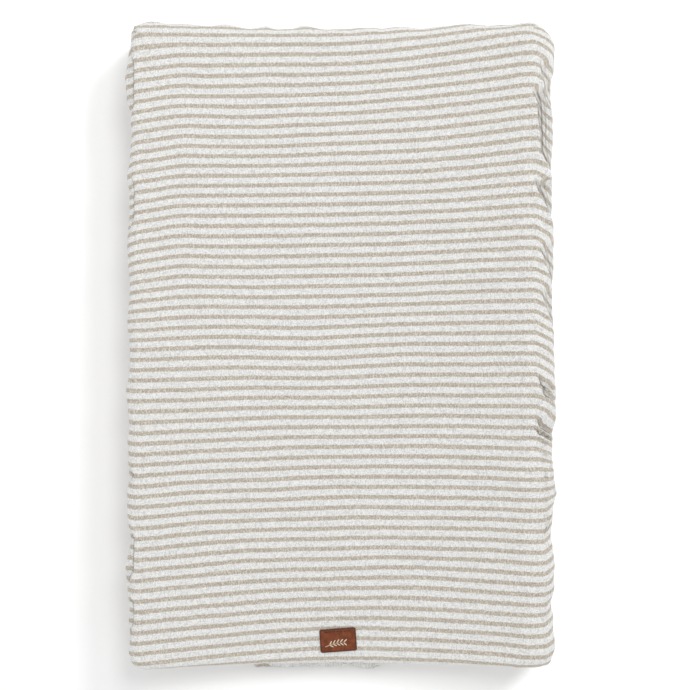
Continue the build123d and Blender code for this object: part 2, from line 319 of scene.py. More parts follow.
# ---------------------------------------------------------------- shader building
class Nodes:
    """Adds and joins nodes in one material or one group."""

    def __init__(self, tree: bpy.types.NodeTree) -> None:
        """Keeps the tree that nodes are added to."""
        self.tree = tree

    def add(self, kind: str, values: dict | None = None, **settings: object) -> bpy.types.Node:
        """Adds a node.

        Args:
            kind: the node's type.
            values: input name or number to a value, or to a socket that is joined to it.
            settings: the node's own properties.

        Returns:
            The new node.
        """
        node = self.tree.nodes.new(kind)
        for key, value in settings.items():
            setattr(node, key, value)
        for key, value in (values or {}).items():
            if isinstance(value, bpy.types.NodeSocket):
                self.tree.links.new(value, node.inputs[key])
            else:
                node.inputs[key].default_value = value
        return node

    def math(self, operation: str, *values: object) -> bpy.types.NodeSocket:
        """A Math node's result."""
        return self.add("ShaderNodeMath", dict(enumerate(values)), operation=operation).outputs[0]

    def spread(
        self, value: object, low: float, high: float, to_low: float = 0.0, to_high: float = 1.0
    ) -> bpy.types.NodeSocket:
        """A value carried smoothly from one range to another and held at its ends."""
        values = {"Value": value, "From Min": low, "From Max": high, "To Min": to_low, "To Max": to_high}
        return self.add("ShaderNodeMapRange", values, interpolation_type="SMOOTHSTEP").outputs["Result"]

    def mix(self, share: object, first: object, second: object) -> bpy.types.NodeSocket:
        """A colour between two others."""
        node = self.add("ShaderNodeMix", data_type="RGBA")
        sockets = [node.inputs[0], node.inputs[6], node.inputs[7]]
        for socket, value in zip(sockets, (share, first, second)):
            if isinstance(value, bpy.types.NodeSocket):
                self.tree.links.new(value, socket)
            else:
                socket.default_value = value
        return node.outputs[2]

    def noise(
        self, vector: object, scale: float, detail: float = 2.0, roughness: float = 0.5
    ) -> bpy.types.NodeSocket:
        """A noise texture's value."""
        values = {"Vector": vector, "Scale": scale, "Detail": detail, "Roughness": roughness}
        return self.add("ShaderNodeTexNoise", values).outputs[0]

    def stretched(self, vector: object, scale: Triple) -> bpy.types.NodeSocket:
        """The vector scaled apart along its axes."""
        return self.add("ShaderNodeMapping", {"Vector": vector, "Scale": scale}).outputs[0]

    def wander(self, noise: bpy.types.NodeSocket, span: float) -> bpy.types.NodeSocket:
        """A noise moved to lie about zero and scaled to a span."""
        return self.math("MULTIPLY", self.math("SUBTRACT", noise, 0.5), span)

    def off_middle(self, steps: bpy.types.NodeSocket) -> bpy.types.NodeSocket:
        """How far a value lies from the middle of its whole step, from 0 to 0.5."""
        return self.math("ABSOLUTE", self.math("SUBTRACT", self.math("FRACT", steps), 0.5))

    def mask(self, name: str) -> bpy.types.NodeSocket:
        """A number that the piece's own mesh holds for each vertex."""
        return self.add("ShaderNodeAttribute", attribute_name=name).outputs["Fac"]


def new_group(
    name: str, inputs: list[tuple[str, str, object]], outputs: list[tuple[str, str]]
) -> tuple[bpy.types.NodeTree, Nodes]:
    """Starts a shader node group.

    Args:
        name: the group's name.
        inputs: each input's name, socket type and standing value.
        outputs: each output's name and socket type.

    Returns:
        The group and a builder for it.
    """
    group = bpy.data.node_groups.new(name, "ShaderNodeTree")
    for label, kind, value in inputs:
        socket = group.interface.new_socket(label, in_out="INPUT", socket_type=kind)
        if value is not None:
            socket.default_value = value
    for label, kind in outputs:
        group.interface.new_socket(label, in_out="OUTPUT", socket_type=kind)
    return group, Nodes(group)


def crinkle_group() -> bpy.types.NodeTree:
    """Crinkled double gauze: soft cushions between fine puckers, with the weave on top.

    Returns:
        A group that takes a place on the cloth and two scales, and gives a height from 0 to 1.
    """
    group, build = new_group(
        "gauze crinkle",
        [
            ("Vector", "NodeSocketVector", None),
            ("Cushion", "NodeSocketFloat", 130.0),
            ("Thread", "NodeSocketFloat", 900.0),
        ],
        [("Height", "NodeSocketFloat")],
    )
    enter = build.add("NodeGroupInput")
    vector, cushions, threads = (enter.outputs[name] for name in ("Vector", "Cushion", "Thread"))
    bent = build.add("ShaderNodeTexNoise", {"Vector": vector, "Scale": 90.0, "Detail": 2.0}).outputs["Color"]
    bent = build.add("ShaderNodeVectorMath", {0: bent, 1: (0.5, 0.5, 0.5)}, operation="SUBTRACT").outputs[0]
    bent = build.add("ShaderNodeVectorMath", {0: bent, "Scale": 0.006}, operation="SCALE").outputs[0]
    bent = build.add("ShaderNodeVectorMath", {0: vector, 1: bent}, operation="ADD").outputs[0]
    cells = {"Vector": build.stretched(bent, (0.75, 1.15, 1.0)), "Scale": cushions}
    cushion = build.add("ShaderNodeTexVoronoi", cells, feature="SMOOTH_F1").outputs["Distance"]
    ways = [
        {"Vector": build.stretched(bent, stretch), "Scale": threads, "Detail": 1.0}
        for stretch in ((0.35, 1.0, 1.0), (1.0, 0.3, 1.0))
    ]
    woven = build.math("ADD", *(build.add("ShaderNodeTexNoise", way).outputs[0] for way in ways))
    height = build.math("ADD", build.math("MULTIPLY", cushion, 0.85), build.math("MULTIPLY", woven, 0.22))
    leave = build.add("NodeGroupOutput")
    group.links.new(height, leave.inputs["Height"])
    return group


def grain_group() -> bpy.types.NodeTree:
    """A fine grain with soft blotches, for leather, foam, rubber and coated cloth.

    Returns:
        A group that takes a vector, a grain scale and a blotch scale, and gives Height and Blotch.
    """
    group, build = new_group(
        "surface grain",
        [
            ("Vector", "NodeSocketVector", None),
            ("Grain", "NodeSocketFloat", 900.0),
            ("Blotches", "NodeSocketFloat", 60.0),
        ],
        [("Height", "NodeSocketFloat"), ("Blotch", "NodeSocketFloat")],
    )
    enter = build.add("NodeGroupInput")
    vector, grain, blotches = (enter.outputs[name] for name in ("Vector", "Grain", "Blotches"))
    cells = build.add("ShaderNodeTexVoronoi", {"Vector": vector, "Scale": grain}).outputs["Distance"]
    fine = build.add("ShaderNodeTexNoise", {"Vector": vector, "Scale": grain, "Detail": 3.0}).outputs[0]
    blotch = build.add("ShaderNodeTexNoise", {"Vector": vector, "Scale": blotches, "Detail": 3.0}).outputs[0]
    leave = build.add("NodeGroupOutput")
    group.links.new(build.math("ADD", cells, build.math("MULTIPLY", fine, 0.6)), leave.inputs["Height"])
    group.links.new(build.spread(blotch, 0.3, 0.7), leave.inputs["Blotch"])
    return group


GROUPS = {"crinkle": crinkle_group(), "grain": grain_group()}


def new_material(
    name: str, roughness: float, sheen: float = 0.0, metallic: float = 0.0
) -> tuple[bpy.types.Material, Nodes, bpy.types.Node]:
    """Starts a material with one Principled shader.

    Args:
        name: the material's name.
        roughness: the shader's roughness.
        sheen: the shader's sheen weight.
        metallic: the shader's metallic value.

    Returns:
        The material, a builder for its nodes and its shader.
    """
    material = bpy.data.materials.new(name)
    material.use_nodes = True
    tree = material.node_tree
    tree.nodes.clear()
    build = Nodes(tree)
    values = {"Roughness": roughness, "Metallic": metallic, "Sheen Weight": sheen}
    shader = build.add("ShaderNodeBsdfPrincipled", values)
    out = build.add("ShaderNodeOutputMaterial")
    tree.links.new(shader.outputs[0], out.inputs["Surface"])
    return material, build, shader


def group_node(build: Nodes, name: str, vector: bpy.types.NodeSocket, **values: float) -> bpy.types.Node:
    """Places one of the shared groups.

    Args:
        build: the material's builder.
        name: the group's short name.
        vector: the place that the group reads.
        values: its other inputs.

    Returns:
        The group's node.
    """
    node = build.add("ShaderNodeGroup", node_tree=GROUPS[name])
    build.tree.links.new(vector, node.inputs["Vector"])
    for key, value in values.items():
        node.inputs[key].default_value = value
    return node


def add_bump(
    build: Nodes, shader: bpy.types.Node, height: bpy.types.NodeSocket, distance: float, strength: float = 1.0
) -> None:
    """Joins a height to the shader's normal through a Bump node."""
    relief = build.add("ShaderNodeBump", {"Height": height, "Distance": distance, "Strength": strength})
    build.tree.links.new(relief.outputs[0], shader.inputs["Normal"])


@dataclass(frozen=True)
class Speckle:
    """Random spots in the cloth: a noise, perhaps stretched along the threads, cut to a range."""

    scale: float
    low: float
    high: float
    stretch: Triple | None = None
    detail: float = 1.0
    roughness: float = 0.6

    def mask(self, build: Nodes, place: bpy.types.NodeSocket) -> bpy.types.NodeSocket:
        """The spots, from 0 to 1."""
        place = build.stretched(place, self.stretch) if self.stretch else place
        return build.spread(build.noise(place, self.scale, self.detail, self.roughness), self.low, self.high)


@dataclass(frozen=True)
class StripedGauze:
    """Crinkled double gauze with even stripes across the cloth, with painted shade in its puckers' hollows and deep
    in its folds.
    """

    pitch: float = 0.01207
    stripe: float = 0.0050
    first: float = -0.0018
    soft: float = 0.045
    white: Colour = (0.885, 0.89, 0.865, 1)
    # the grey that thin spots in the weave show, also used as painted shade in the puckers' hollows
    white_thread_and_shade: Colour = (0.63, 0.63, 0.62, 1)
    beige: Colour = (0.44, 0.385, 0.32, 1)
    beige_dark: Colour = (0.26, 0.205, 0.15, 1)
    beige_light: Colour = (0.68, 0.63, 0.55, 1)
    # painted shade: the dark colour that the cloth takes deep in its folds
    fold_shade_colour: Colour = (0.070, 0.048, 0.032, 1)
    slub: Speckle = Speckle(560.0, 0.47, 0.62, (1.0, 0.4, 1.0), 2.0, 0.7)
    fleck: Speckle = Speckle(600.0, 0.50, 0.62, None, 2.0, 0.8)
    knot: Speckle = Speckle(700.0, 0.54, 0.66, (1.0, 0.6, 1.0), 2.0, 0.7)
    warp: Speckle = Speckle(620.0, 0.52, 0.66, (1.0, 0.26, 1.0))
    weft: Speckle = Speckle(640.0, 0.54, 0.68, (0.30, 1.0, 1.0))
    nub: Speckle = Speckle(680.0, 0.51, 0.63, None, 1.0, 0.5)
    knot_share: float = 0.55
    spot_share: float = 0.86
    pucker_shade_share: float = 0.16
    edge_span: float = 0.0034
    drift_span: float = 0.0016
    pleat: float = 0.0060
    pleat_start: float = 0.333
    pleat_span: float = 0.0034

    def striped(self, build: Nodes, uv: bpy.types.NodeSocket) -> bpy.types.NodeSocket:
        """The stripes' mask: even steps along the cloth, with ragged edges and a slow drift."""
        ragged = build.noise(build.stretched(uv, (0.8, 0.5, 1.0)), 760.0, 3.0, 0.6)
        along = build.add("ShaderNodeSeparateXYZ", {0: uv}).outputs["Y"]
        along = build.math("ADD", along, build.wander(ragged, self.edge_span))
        along = build.math("ADD", along, build.wander(build.noise(uv, 26.0, 1.0), self.drift_span))
        phase = build.math("DIVIDE", build.math("SUBTRACT", along, self.first - self.pitch / 2), self.pitch)
        half = self.stripe / self.pitch / 2
        return build.spread(build.off_middle(phase), half + self.soft, half - self.soft)

    def painted_fold_shade(self, build: Nodes, uv: bpy.types.NodeSocket) -> bpy.types.NodeSocket:
        """The folds' painted shade: dark lines of painted shade that repeat outwards from the lip, and fainter
        painted shade between.
        """
        wobble = build.wander(build.noise(uv, 130.0, 2.0), self.pleat_span)
        out = build.math("ADD", build.mask("lip"), wobble)
        steps = build.math("MULTIPLY_ADD", out, 1 / self.pleat, self.pleat_start)
        lines = build.spread(build.off_middle(steps), 0.32, 0.08, 0.30, 1.0)
        return build.math("MULTIPLY", build.mask("fold"), lines)

    def build(self) -> bpy.types.Material:
        """Makes the material. It reads the cloth's own UV map, which is in metres of flat cloth."""
        material, build, shader = new_material("striped gauze", 0.92, sheen=0.12)
        uv = build.add("ShaderNodeUVMap", uv_map="cloth").outputs[0]
        gauze = group_node(build, "crinkle", uv, Cushion=230.0, Thread=620.0).outputs["Height"]
        pale = build.math("MAXIMUM", self.slub.mask(build, uv), self.fleck.mask(build, uv))
        beige = build.mix(pale, self.beige, self.beige_light)
        knots = build.math("MULTIPLY", self.knot.mask(build, uv), self.knot_share)
        beige = build.mix(knots, beige, self.beige_dark)
        thin = build.math("MAXIMUM", self.warp.mask(build, uv), self.weft.mask(build, uv))
        thin = build.math("MAXIMUM", thin, self.nub.mask(build, uv))
        # painted shade: the cloth is greyer where the crinkle is low, in the puckers' hollows
        pucker = build.math("SUBTRACT", 1.0, build.spread(gauze, 0.30, 0.78))
        pucker = build.math("MULTIPLY", pucker, self.pucker_shade_share)
        thin = build.math("MULTIPLY_ADD", thin, self.spot_share, pucker)
        white = build.mix(thin, self.white, self.white_thread_and_shade)
        colour = build.mix(self.striped(build, uv), white, beige)
        # painted shade in the folds, from the cover's fold and lip masks
        colour = build.mix(self.painted_fold_shade(build, uv), colour, self.fold_shade_colour)
        build.tree.links.new(colour, shader.inputs["Base Color"])
        add_bump(build, shader, gauze, 0.0016, 0.9)
        return material


@dataclass(frozen=True)
class BurnishedLeather:
    """Tanned leather whose edge is darkened by burnishing, with fine pores and faint blotches."""

    dark: Colour = (0.150, 0.036, 0.011, 1)
    light: Colour = (0.235, 0.062, 0.020, 1)
    burnt: Colour = (0.070, 0.015, 0.005, 1)

    def build(self) -> bpy.types.Material:
        """Makes the material. Its edge comes from the piece's own mask."""
        material, build, shader = new_material("burnished leather", 0.62)
        place = build.add("ShaderNodeTexCoord").outputs["Object"]
        grain = group_node(build, "grain", place, Grain=1300.0, Blotches=210.0)
        colour = build.mix(grain.outputs["Blotch"], self.dark, self.light)
        pores = build.spread(build.noise(place, 1700.0, 2.0), 0.62, 0.75)
        colour = build.mix(build.math("MULTIPLY", pores, 0.5), colour, self.burnt)
        edge = build.mask("edge")
        worn = build.math("MULTIPLY", edge, build.spread(build.noise(place, 300.0, 2.0), 0.2, 0.6, 0.55, 1.0))
        build.tree.links.new(build.mix(worn, colour, self.burnt), shader.inputs["Base Color"])
        build.tree.links.new(build.spread(edge, 0.0, 1.0, 0.66, 0.45), shader.inputs["Roughness"])
        shader.inputs["Specular IOR Level"].default_value = 0.3
        add_bump(build, shader, grain.outputs["Height"], 0.00016)
        return material


@dataclass(frozen=True)
class Grained:
    """A finish with a fine grain and soft blotches: leather, coated cloth, foam, rubber or fibre."""

    name: str
    dark: Colour
    light: Colour
    roughness: float
    grain: float
    depth: float
    blotches: float = 60.0
    sheen: float = 0.0
    metallic: float = 0.0
    stretch: Triple = (1.0, 1.0, 1.0)

    def build(self) -> bpy.types.Material:
        """Makes the material on Object coordinates."""
        material, build, shader = new_material(self.name, self.roughness, self.sheen, self.metallic)
        place = build.add("ShaderNodeTexCoord").outputs["Object"]
        place = build.stretched(place, self.stretch)
        grain = group_node(build, "grain", place, Grain=self.grain, Blotches=self.blotches)
        colour = build.mix(grain.outputs["Blotch"], self.dark, self.light)
        build.tree.links.new(colour, shader.inputs["Base Color"])
        rough = build.spread(grain.outputs["Blotch"], 0.0, 1.0, self.roughness * 0.9, min(1.0, self.roughness * 1.1))
        build.tree.links.new(rough, shader.inputs["Roughness"])
        add_bump(build, shader, grain.outputs["Height"], self.depth)
        return material


def grey(value: float, warm: float = 1.0) -> Colour:
    """A grey with its blue turned down as warm falls below 1."""
    return (value, value * (0.5 + warm / 2), value * warm, 1)


FINISHES = {
    "gauze": StripedGauze().build(),
    "leather": BurnishedLeather().build(),
}
for finish, grained in {
    "emblem": Grained("emblem print", (0.70, 0.60, 0.44, 1), (0.80, 0.71, 0.55, 1), 0.6, 2500.0, 0.00004),
    "dark thread": Grained("label thread", (0.022, 0.008, 0.004, 1), (0.05, 0.018, 0.010, 1), 0.7, 4000.0, 0.00008),
    "white thread": Grained("hem thread", grey(0.62, 0.94), grey(0.78, 0.95), 0.8, 4000.0, 0.00008, sheen=0.2),
    "coated": Grained("coated cloth", grey(0.70, 0.98), grey(0.80, 0.985), 0.42, 1400.0, 0.00006, 18.0),
    "foam": Grained("foam", (0.66, 0.60, 0.42, 1), (0.80, 0.74, 0.56, 1), 0.95, 700.0, 0.0007),
    "wadding": Grained("wadding", grey(0.70), grey(0.86), 0.95, 260.0, 0.0012, 90.0, sheen=0.4),
    "rubber": Grained("grip rubber", grey(0.40, 0.97), grey(0.50, 0.97), 0.6, 2600.0, 0.00005),
    "tape": Grained(
        "zip tape", grey(0.62, 0.96), grey(0.76, 0.96), 0.85, 2200.0, 0.00016, sheen=0.15, stretch=(1.0, 0.35, 1.0)
    ),
    "nylon": Grained("zip nylon", grey(0.66, 0.96), grey(0.74, 0.96), 0.38, 1800.0, 0.00002),
    "metal": Grained(
        "zip metal", grey(0.50), grey(0.66), 0.3, 2600.0, 0.00002, 200.0, metallic=1.0, stretch=(1.0, 0.2, 1.0)
    ),
    "elastic": Grained("ribbed elastic", grey(0.66), grey(0.84), 0.85, 1800.0, 0.00025, sheen=0.15),
    "ribbon": Grained("care ribbon", grey(0.78), grey(0.86), 0.45, 3200.0, 0.00003),
}.items():
    FINISHES[finish] = grained.build()


def dress(piece: bpy.types.Object, finish: str) -> None:
    """Gives a piece one finish in place of any it has."""
    piece.data.materials.clear()
    piece.data.materials.append(FINISHES[finish])


def settle(piece: bpy.types.Object, finish: str, slot: str, body: str, *nodes: str) -> bpy.types.Object:
    """Finishes a new piece.

    Args:
        piece: the piece.
        finish: the finish that it gets.
        slot: the record's material slot; not used.
        body: the body that it rides on.
        nodes: the nodes that it stands for.

    Returns:
        The piece.
    """
    dress(piece, finish)
    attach(piece, body)
    if nodes:
        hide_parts(*nodes)
    log.info("%s: %d faces", piece.name, len(piece.data.polygons))
    return piece


# ---------------------------------------------------------------- the covered pad's surface
@dataclass(frozen=True)
class Crease:
    """A fold in the cloth over one of the long shoulders.

    Its lip follows a line of points, each a place along the pad and a distance down from the
    trough's border. Outside the lip the cloth drops by depth and comes back over reach.
    """

    line: tuple[Pair, ...]
    depth: float
    reach: float
    overhang: float = 0.0
    draw: float = 1.5
    full_depth: ClassVar[float] = 0.005
    lip_share: ClassVar[float] = 0.45
    lip_width: ClassVar[float] = 0.004
    lean_width: ClassVar[float] = 0.003
    edge: ClassVar[float] = 0.0008

    def measure(self, along: Array, down: Array) -> tuple[Array, Array]:
        """Measures from the lip: the distance to the nearest of its runs, signed by the side.

        Args:
            along: place along the pad.
            down: distance down from the trough's border.

        Returns:
            The distance, above 0 outside the lip, and a weight that fades towards both ends.
        """
        nearest = np.full(down.shape, np.inf)
        signed, progress = np.zeros(down.shape), np.zeros(down.shape)
        for number, (begin, end) in enumerate(zip(self.line, self.line[1:])):
            run = np.subtract(end, begin)
            share = ((along - begin[0]) * run[0] + (down - begin[1]) * run[1]) / (run @ run)
            share = np.clip(share, 0, 1)
            off = along - begin[0] - share * run[0], down - begin[1] - share * run[1]
            distance = np.hypot(*off)
            closer = distance < nearest
            side = np.sign(off[0] * run[1] - off[1] * run[0])
            nearest = np.where(closer, distance, nearest)
            signed = np.where(closer, side * distance, signed)
            progress = np.where(closer, (number + share) / (len(self.line) - 1), progress)
        return signed, ease(progress, 0, 0.24) * (1 - ease(progress, 0.85, 1.0))

    def shade(self, along: Array, down: Array) -> Array:
        """How strong the painted shade in the fold's drop is at each place, from 0 to 1: most just outside the lip.
        """
        far, weight = self.measure(along, down)
        inside = np.exp(-np.maximum(far - 0.001, 0) / (0.9 * self.reach))
        return min(1.0, self.depth / self.full_depth) * weight * ease(far, -0.0022, 0.0010) * inside

    def shape(self, along: Array, down: Array) -> tuple[Array, Array, Array]:
        """The fold's shape: a swollen lip, a sharp drop outside it and a slow return.

        Args:
            along: place along the pad.
            down: distance down from the trough's border.

        Returns:
            How far the cloth stands out, how far its lip leans outwards, and how far the
            flat cloth is drawn along the pad in the drop.
        """
        far, weight = self.measure(along, down)
        away = np.maximum(far, 0)
        drop = ease(far, -self.edge, 2 * self.edge) * np.exp(-away / self.reach)
        height = self.depth * weight * (self.lip_share * bump(far, -self.lip_width, self.lip_width) - drop)
        lean = self.overhang * weight * bump(far, -self.edge, self.lean_width)
        return height, lean, self.draw * weight * away * np.exp(-away / self.reach)


@dataclass
class PadSurface:
    """The covered pad's surface: a grid over the trough, and columns that run down from its border.

    The trough is part of a cylinder on each side of the middle. Each column is an arc over the
    shoulder, a leaning wall, a small heel on the floor, and the cloth that turns in underneath.
    """

    across: int = 132
    along: int = 208
    fan: int = 7
    floor: float = 0.052
    bend_right: float = 0.470
    bend_left: float = 0.520
    core_corner: float = 0.010
    walls: dict[Side, float] = field(
        default_factory=lambda: {Side.FOOT: 0.3895, Side.RIGHT: 0.2525, Side.HEAD: 0.388, Side.LEFT: 0.2505}
    )
    leans: dict[Side, float] = field(
        default_factory=lambda: {Side.FOOT: 8.0, Side.RIGHT: 3.0, Side.HEAD: 8.0, Side.LEFT: 3.0}
    )
    shoulders: dict[Side, float] = field(
        default_factory=lambda: {Side.FOOT: 0.012, Side.RIGHT: 0.028, Side.HEAD: 0.025, Side.LEFT: 0.012}
    )
    heel: float = 0.007
    level: float = 0.0029

    def lean(self, side: Side) -> float:
        """The wall's lean in radians."""
        return math.radians(self.leans[side])

    def count(self, side: Side) -> int:
        """How many columns of quads a side has."""
        return self.across if side in (Side.FOOT, Side.HEAD) else self.along

    def bend(self, x: Array) -> Array:
        """The trough's radius at x, which differs between its two halves."""
        return np.where(x < 0, self.bend_left, self.bend_right)

    def height(self, x: Array) -> Array:
        """The trough's height: the floor plus the drop of a circle from its lowest point."""
        return self.floor + self.bend(x) - np.sqrt(self.bend(x) ** 2 - x**2)

    def slope(self, x: Array) -> Array:
        """The trough's slope at x."""
        return x / np.sqrt(self.bend(x) ** 2 - x**2)

    def shoulder_start(self, side: Side) -> float:
        """How far from the middle the shoulder's arc leaves the trough, tangent to it and the wall."""
        bend = self.bend_right if side is Side.RIGHT else self.bend_left
        arc, lean, wall = self.shoulders[side], self.lean(side), self.walls[side]
        z = self.floor
        for _ in range(30):
            x = wall - arc / math.cos(lean) - z * math.tan(lean)
            z = self.floor + bend - math.sqrt((bend + arc) ** 2 - x**2)
        return x * bend / (bend + arc)

    def end_start(self, side: Side, x: Array) -> Array:
        """How far from the middle an end's arc starts, which depends on the height there."""
        arc, lean = self.shoulders[side], self.lean(side)
        return self.walls[side] - (self.height(x) - arc) * math.tan(lean) - arc / math.cos(lean)

    def core_side(self, side: Side, t: Array) -> tuple[Array, Array, Array]:
        """One side of the border between trough and shoulders.

        Args:
            side: which side.
            t: place along it, from 0 at one corner's middle to count(side) at the next's.

        Returns:
            x, y and the outward direction's angle.
        """
        r = self.core_corner
        left, right = -self.shoulder_start(Side.LEFT), self.shoulder_start(Side.RIGHT)
        foot = -float(self.end_start(Side.FOOT, np.array(0.0)))
        head = float(self.end_start(Side.HEAD, np.array(0.0)))
        low, high = foot + r, head - r
        corners = np.array([[left + r, low], [right - r, low], [right - r, high], [left + r, high]])
        begin, end = corners[side.value], corners[(side.value + 1) % 4]
        count = self.count(side)
        base = (side.value - 1) * math.pi / 2
        quarter = math.pi / 4
        angle = base + np.interp(t, [0, self.fan, count - self.fan, count], [-quarter, 0, 0, quarter])
        share = np.interp(t, [self.fan, count - self.fan], [0, 1])[..., None]
        middle = begin + (end - begin) * share
        x = middle[..., 0] + r * np.cos(angle)
        y = middle[..., 1] + r * np.sin(angle)
        return x, self.drawn_in(x, y), angle

    def drawn_in(self, x: Array, y: Array) -> Array:
        """y, drawn in towards the middle where the ends are higher and so start further in."""
        middle = np.array(0.0)
        foot = self.end_start(Side.FOOT, x) / self.end_start(Side.FOOT, middle)
        head = self.end_start(Side.HEAD, x) / self.end_start(Side.HEAD, middle)
        return y * np.where(y < 0, foot, head)

    def between_sides(self, angle: Array, values: dict[Side, float]) -> Array:
        """A side's value, passing evenly to the next side's round each corner."""
        degrees = (np.degrees(angle) + 180) % 360 - 180
        order = (Side.LEFT, Side.FOOT, Side.RIGHT, Side.HEAD, Side.LEFT)
        return np.interp(degrees, [-180, -90, 0, 90, 180], [values[side] for side in order])

    def inside(self, depth: float, level: float) -> "PadSurface":
        """The surface that lies at a depth inside this one, on a floor at its own level.

        Args:
            depth: how far inside.
            level: the height of its underside.

        Returns:
            The inner surface.
        """
        return PadSurface(
            floor=self.floor - depth,
            bend_right=self.bend_right + depth,
            bend_left=self.bend_left + depth,
            core_corner=self.core_corner,
            walls={side: wall - depth / math.cos(self.lean(side)) for side, wall in self.walls.items()},
            shoulders={side: arc - depth for side, arc in self.shoulders.items()},
            heel=0.002,
            level=level,
        )

    def drape(self, side: Side, t: Array, arc_rows: int, wall_rows: int, heel_rows: int) -> dict[str, Array]:
        """The smooth columns of one side: an arc over the shoulder, a leaning wall and a heel.

        Args:
            side: which side.
            t: the columns' places along the side.
            arc_rows: rows over the shoulder.
            wall_rows: rows down the wall.
            heel_rows: rows round the heel.

        Returns:
            points; normal, outwards; slide, the way down the cloth; down, the distance down; and
            the border's x, y and angle.
        """
        x0, y0, angle = self.core_side(side, t)
        z0 = self.height(x0)
        arc = self.between_sides(angle, self.shoulders)
        lean = np.radians(self.between_sides(angle, self.leans))
        first = -np.arctan(self.slope(x0) * np.cos(angle))
        last = math.pi / 2 - lean

        step = np.linspace(0, 1, arc_rows + 1)[1:, None]
        tilt = first + (last - first) * step
        out = arc * (np.sin(tilt) - np.sin(first))
        z = z0 + arc * (np.cos(tilt) - np.cos(first))
        down = arc * (tilt - first)

        wall_end = self.level + self.heel + self.heel * np.cos(last)
        drop = (z[-1] - wall_end) * np.linspace(0, 1, wall_rows + 1)[1:, None]
        wall_out = out[-1] + drop * np.tan(lean)
        wall_z = z[-1] - drop
        wall_down = down[-1] + drop / np.cos(lean)

        heel_tilt = last + (math.pi - last) * np.linspace(0, 1, heel_rows + 1)[1:, None]
        heel_out = wall_out[-1] + self.heel * (np.sin(heel_tilt) - np.sin(last))
        heel_z = wall_z[-1] + self.heel * (np.cos(heel_tilt) - np.cos(last))
        heel_down = wall_down[-1] + self.heel * (heel_tilt - last)

        out = np.vstack([out, wall_out, heel_out])
        z = np.vstack([z, wall_z, heel_z])
        tilt = np.vstack([tilt, np.broadcast_to(last, wall_out.shape), heel_tilt])
        out_x, out_y = np.cos(angle), np.sin(angle)
        reach = {near: self.walls[near] - z * math.tan(self.lean(near)) for near in Side}
        x = np.clip(x0 + out * out_x, -reach[Side.LEFT], reach[Side.RIGHT])
        y = np.clip(y0 + out * out_y, -reach[Side.FOOT], reach[Side.HEAD])
        return {
            "points": np.stack([x, y, z], axis=-1),
            "normal": np.stack([np.sin(tilt) * out_x, np.sin(tilt) * out_y, np.cos(tilt)], axis=-1),
            "slide": np.stack([np.cos(tilt) * out_x, np.cos(tilt) * out_y, -np.sin(tilt)], axis=-1),
            "down": np.vstack([down, wall_down, heel_down]),
            "x": x0, "y": y0, "angle": angle,
        }

    def trough(self) -> Array:
        """The trough's grid: straight blends between opposite borders, then lifted to its height.

        Returns:
            Points, with one row for each step along the pad.
        """
        steps = {side: np.arange(self.count(side) + 1.0) for side in Side}
        edge = {side: np.stack(self.core_side(side, steps[side])[:2], axis=-1) for side in Side}
        low, high = edge[Side.FOOT], edge[Side.HEAD][::-1]
        left, right = edge[Side.LEFT][::-1], edge[Side.RIGHT]
        u = np.linspace(0, 1, self.across + 1)[None, :, None]
        v = np.linspace(0, 1, self.along + 1)[:, None, None]
        plan = (1 - v) * low[None] + v * high[None] + (1 - u) * left[:, None] + u * right[:, None]
        plan -= (1 - u) * (1 - v) * low[0] + u * (1 - v) * low[-1] + (1 - u) * v * high[0] + u * v * high[-1]
        return np.concatenate([plan, self.height(plan[..., 0])[..., None]], axis=-1)


@dataclass(frozen=True)
class Filling:
    """The foam's outline, which cloth around it has to clear: a rounded rectangle that leans in."""

    corner: float = 0.0095
    top: float = 0.074
    leans: Pair = (math.tan(math.radians(3.0)), math.tan(math.radians(8.0)))

    def cleared(self, points: Array, gap: float) -> Array:
        """Pushes a wall's points the shortest way out until they clear the foam by a gap.

        Args:
            points: the cloth's points, from shoulder to heel.
            gap: the distance to leave.

        Returns:
            The points, moved only where they were too close.
        """
        low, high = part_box("foam_base")
        z = np.clip(points[..., 2], float(low[2]), self.top)
        rise = (z - float(low[2]))[..., None] * np.array(self.leans)
        half = np.array([float(high[0]), float(high[1])]) - rise + gap
        corner = self.corner + gap
        off = np.abs(points[..., :2]) - (half - corner)
        beyond = np.maximum(off, 0)
        length = np.linalg.norm(beyond, axis=-1)
        nearer = np.stack([off[..., 0] >= off[..., 1], off[..., 0] < off[..., 1]], axis=-1).astype(float)
        way = np.where((length > 1e-9)[..., None], beyond / np.maximum(length, 1e-9)[..., None], nearer)
        short = corner - length - np.minimum(off.max(axis=-1), 0)
        weight = ease(points[..., 2], 0.0050, 0.0075) * (1 - ease(points[..., 2], self.top, self.top + 0.010))
        moved = points.copy()
        moved[..., :2] += np.sign(points[..., :2]) * way * (np.maximum(short, 0) * weight)[..., None]
        return moved


def loop_side(half: Pair, radius: float, side: Side, share: Array, inset: float) -> Array:
    """A place on one side of a rounded rectangle about the origin.

    Args:
        half: half its width and half its length.
        radius: of its corners.
        side: which side.
        share: place along it, from 0 at one corner's middle to 1 at the next's.
        inset: how far inside the rectangle's own line.

    Returns:
        x and y.
    """
    a, b = half[0] - radius, half[1] - radius
    corners = np.array([[-a, -b], [a, -b], [a, b], [-a, b]])
    begin, end = corners[side.value], corners[(side.value + 1) % 4]
    arc, straight = radius * math.pi / 4, float(np.linalg.norm(end - begin))
    far = share * (2 * arc + straight)
    square, quarter = (side.value - 1) * math.pi / 2, math.pi / 4
    angle = square + np.interp(far, [0, arc, arc + straight, 2 * arc + straight], [-quarter, 0, 0, quarter])
    centre = begin + (end - begin) * np.clip((far - arc) / straight, 0, 1)[..., None]
    return centre + (radius - inset) * np.stack([np.cos(angle), np.sin(angle)], axis=-1)


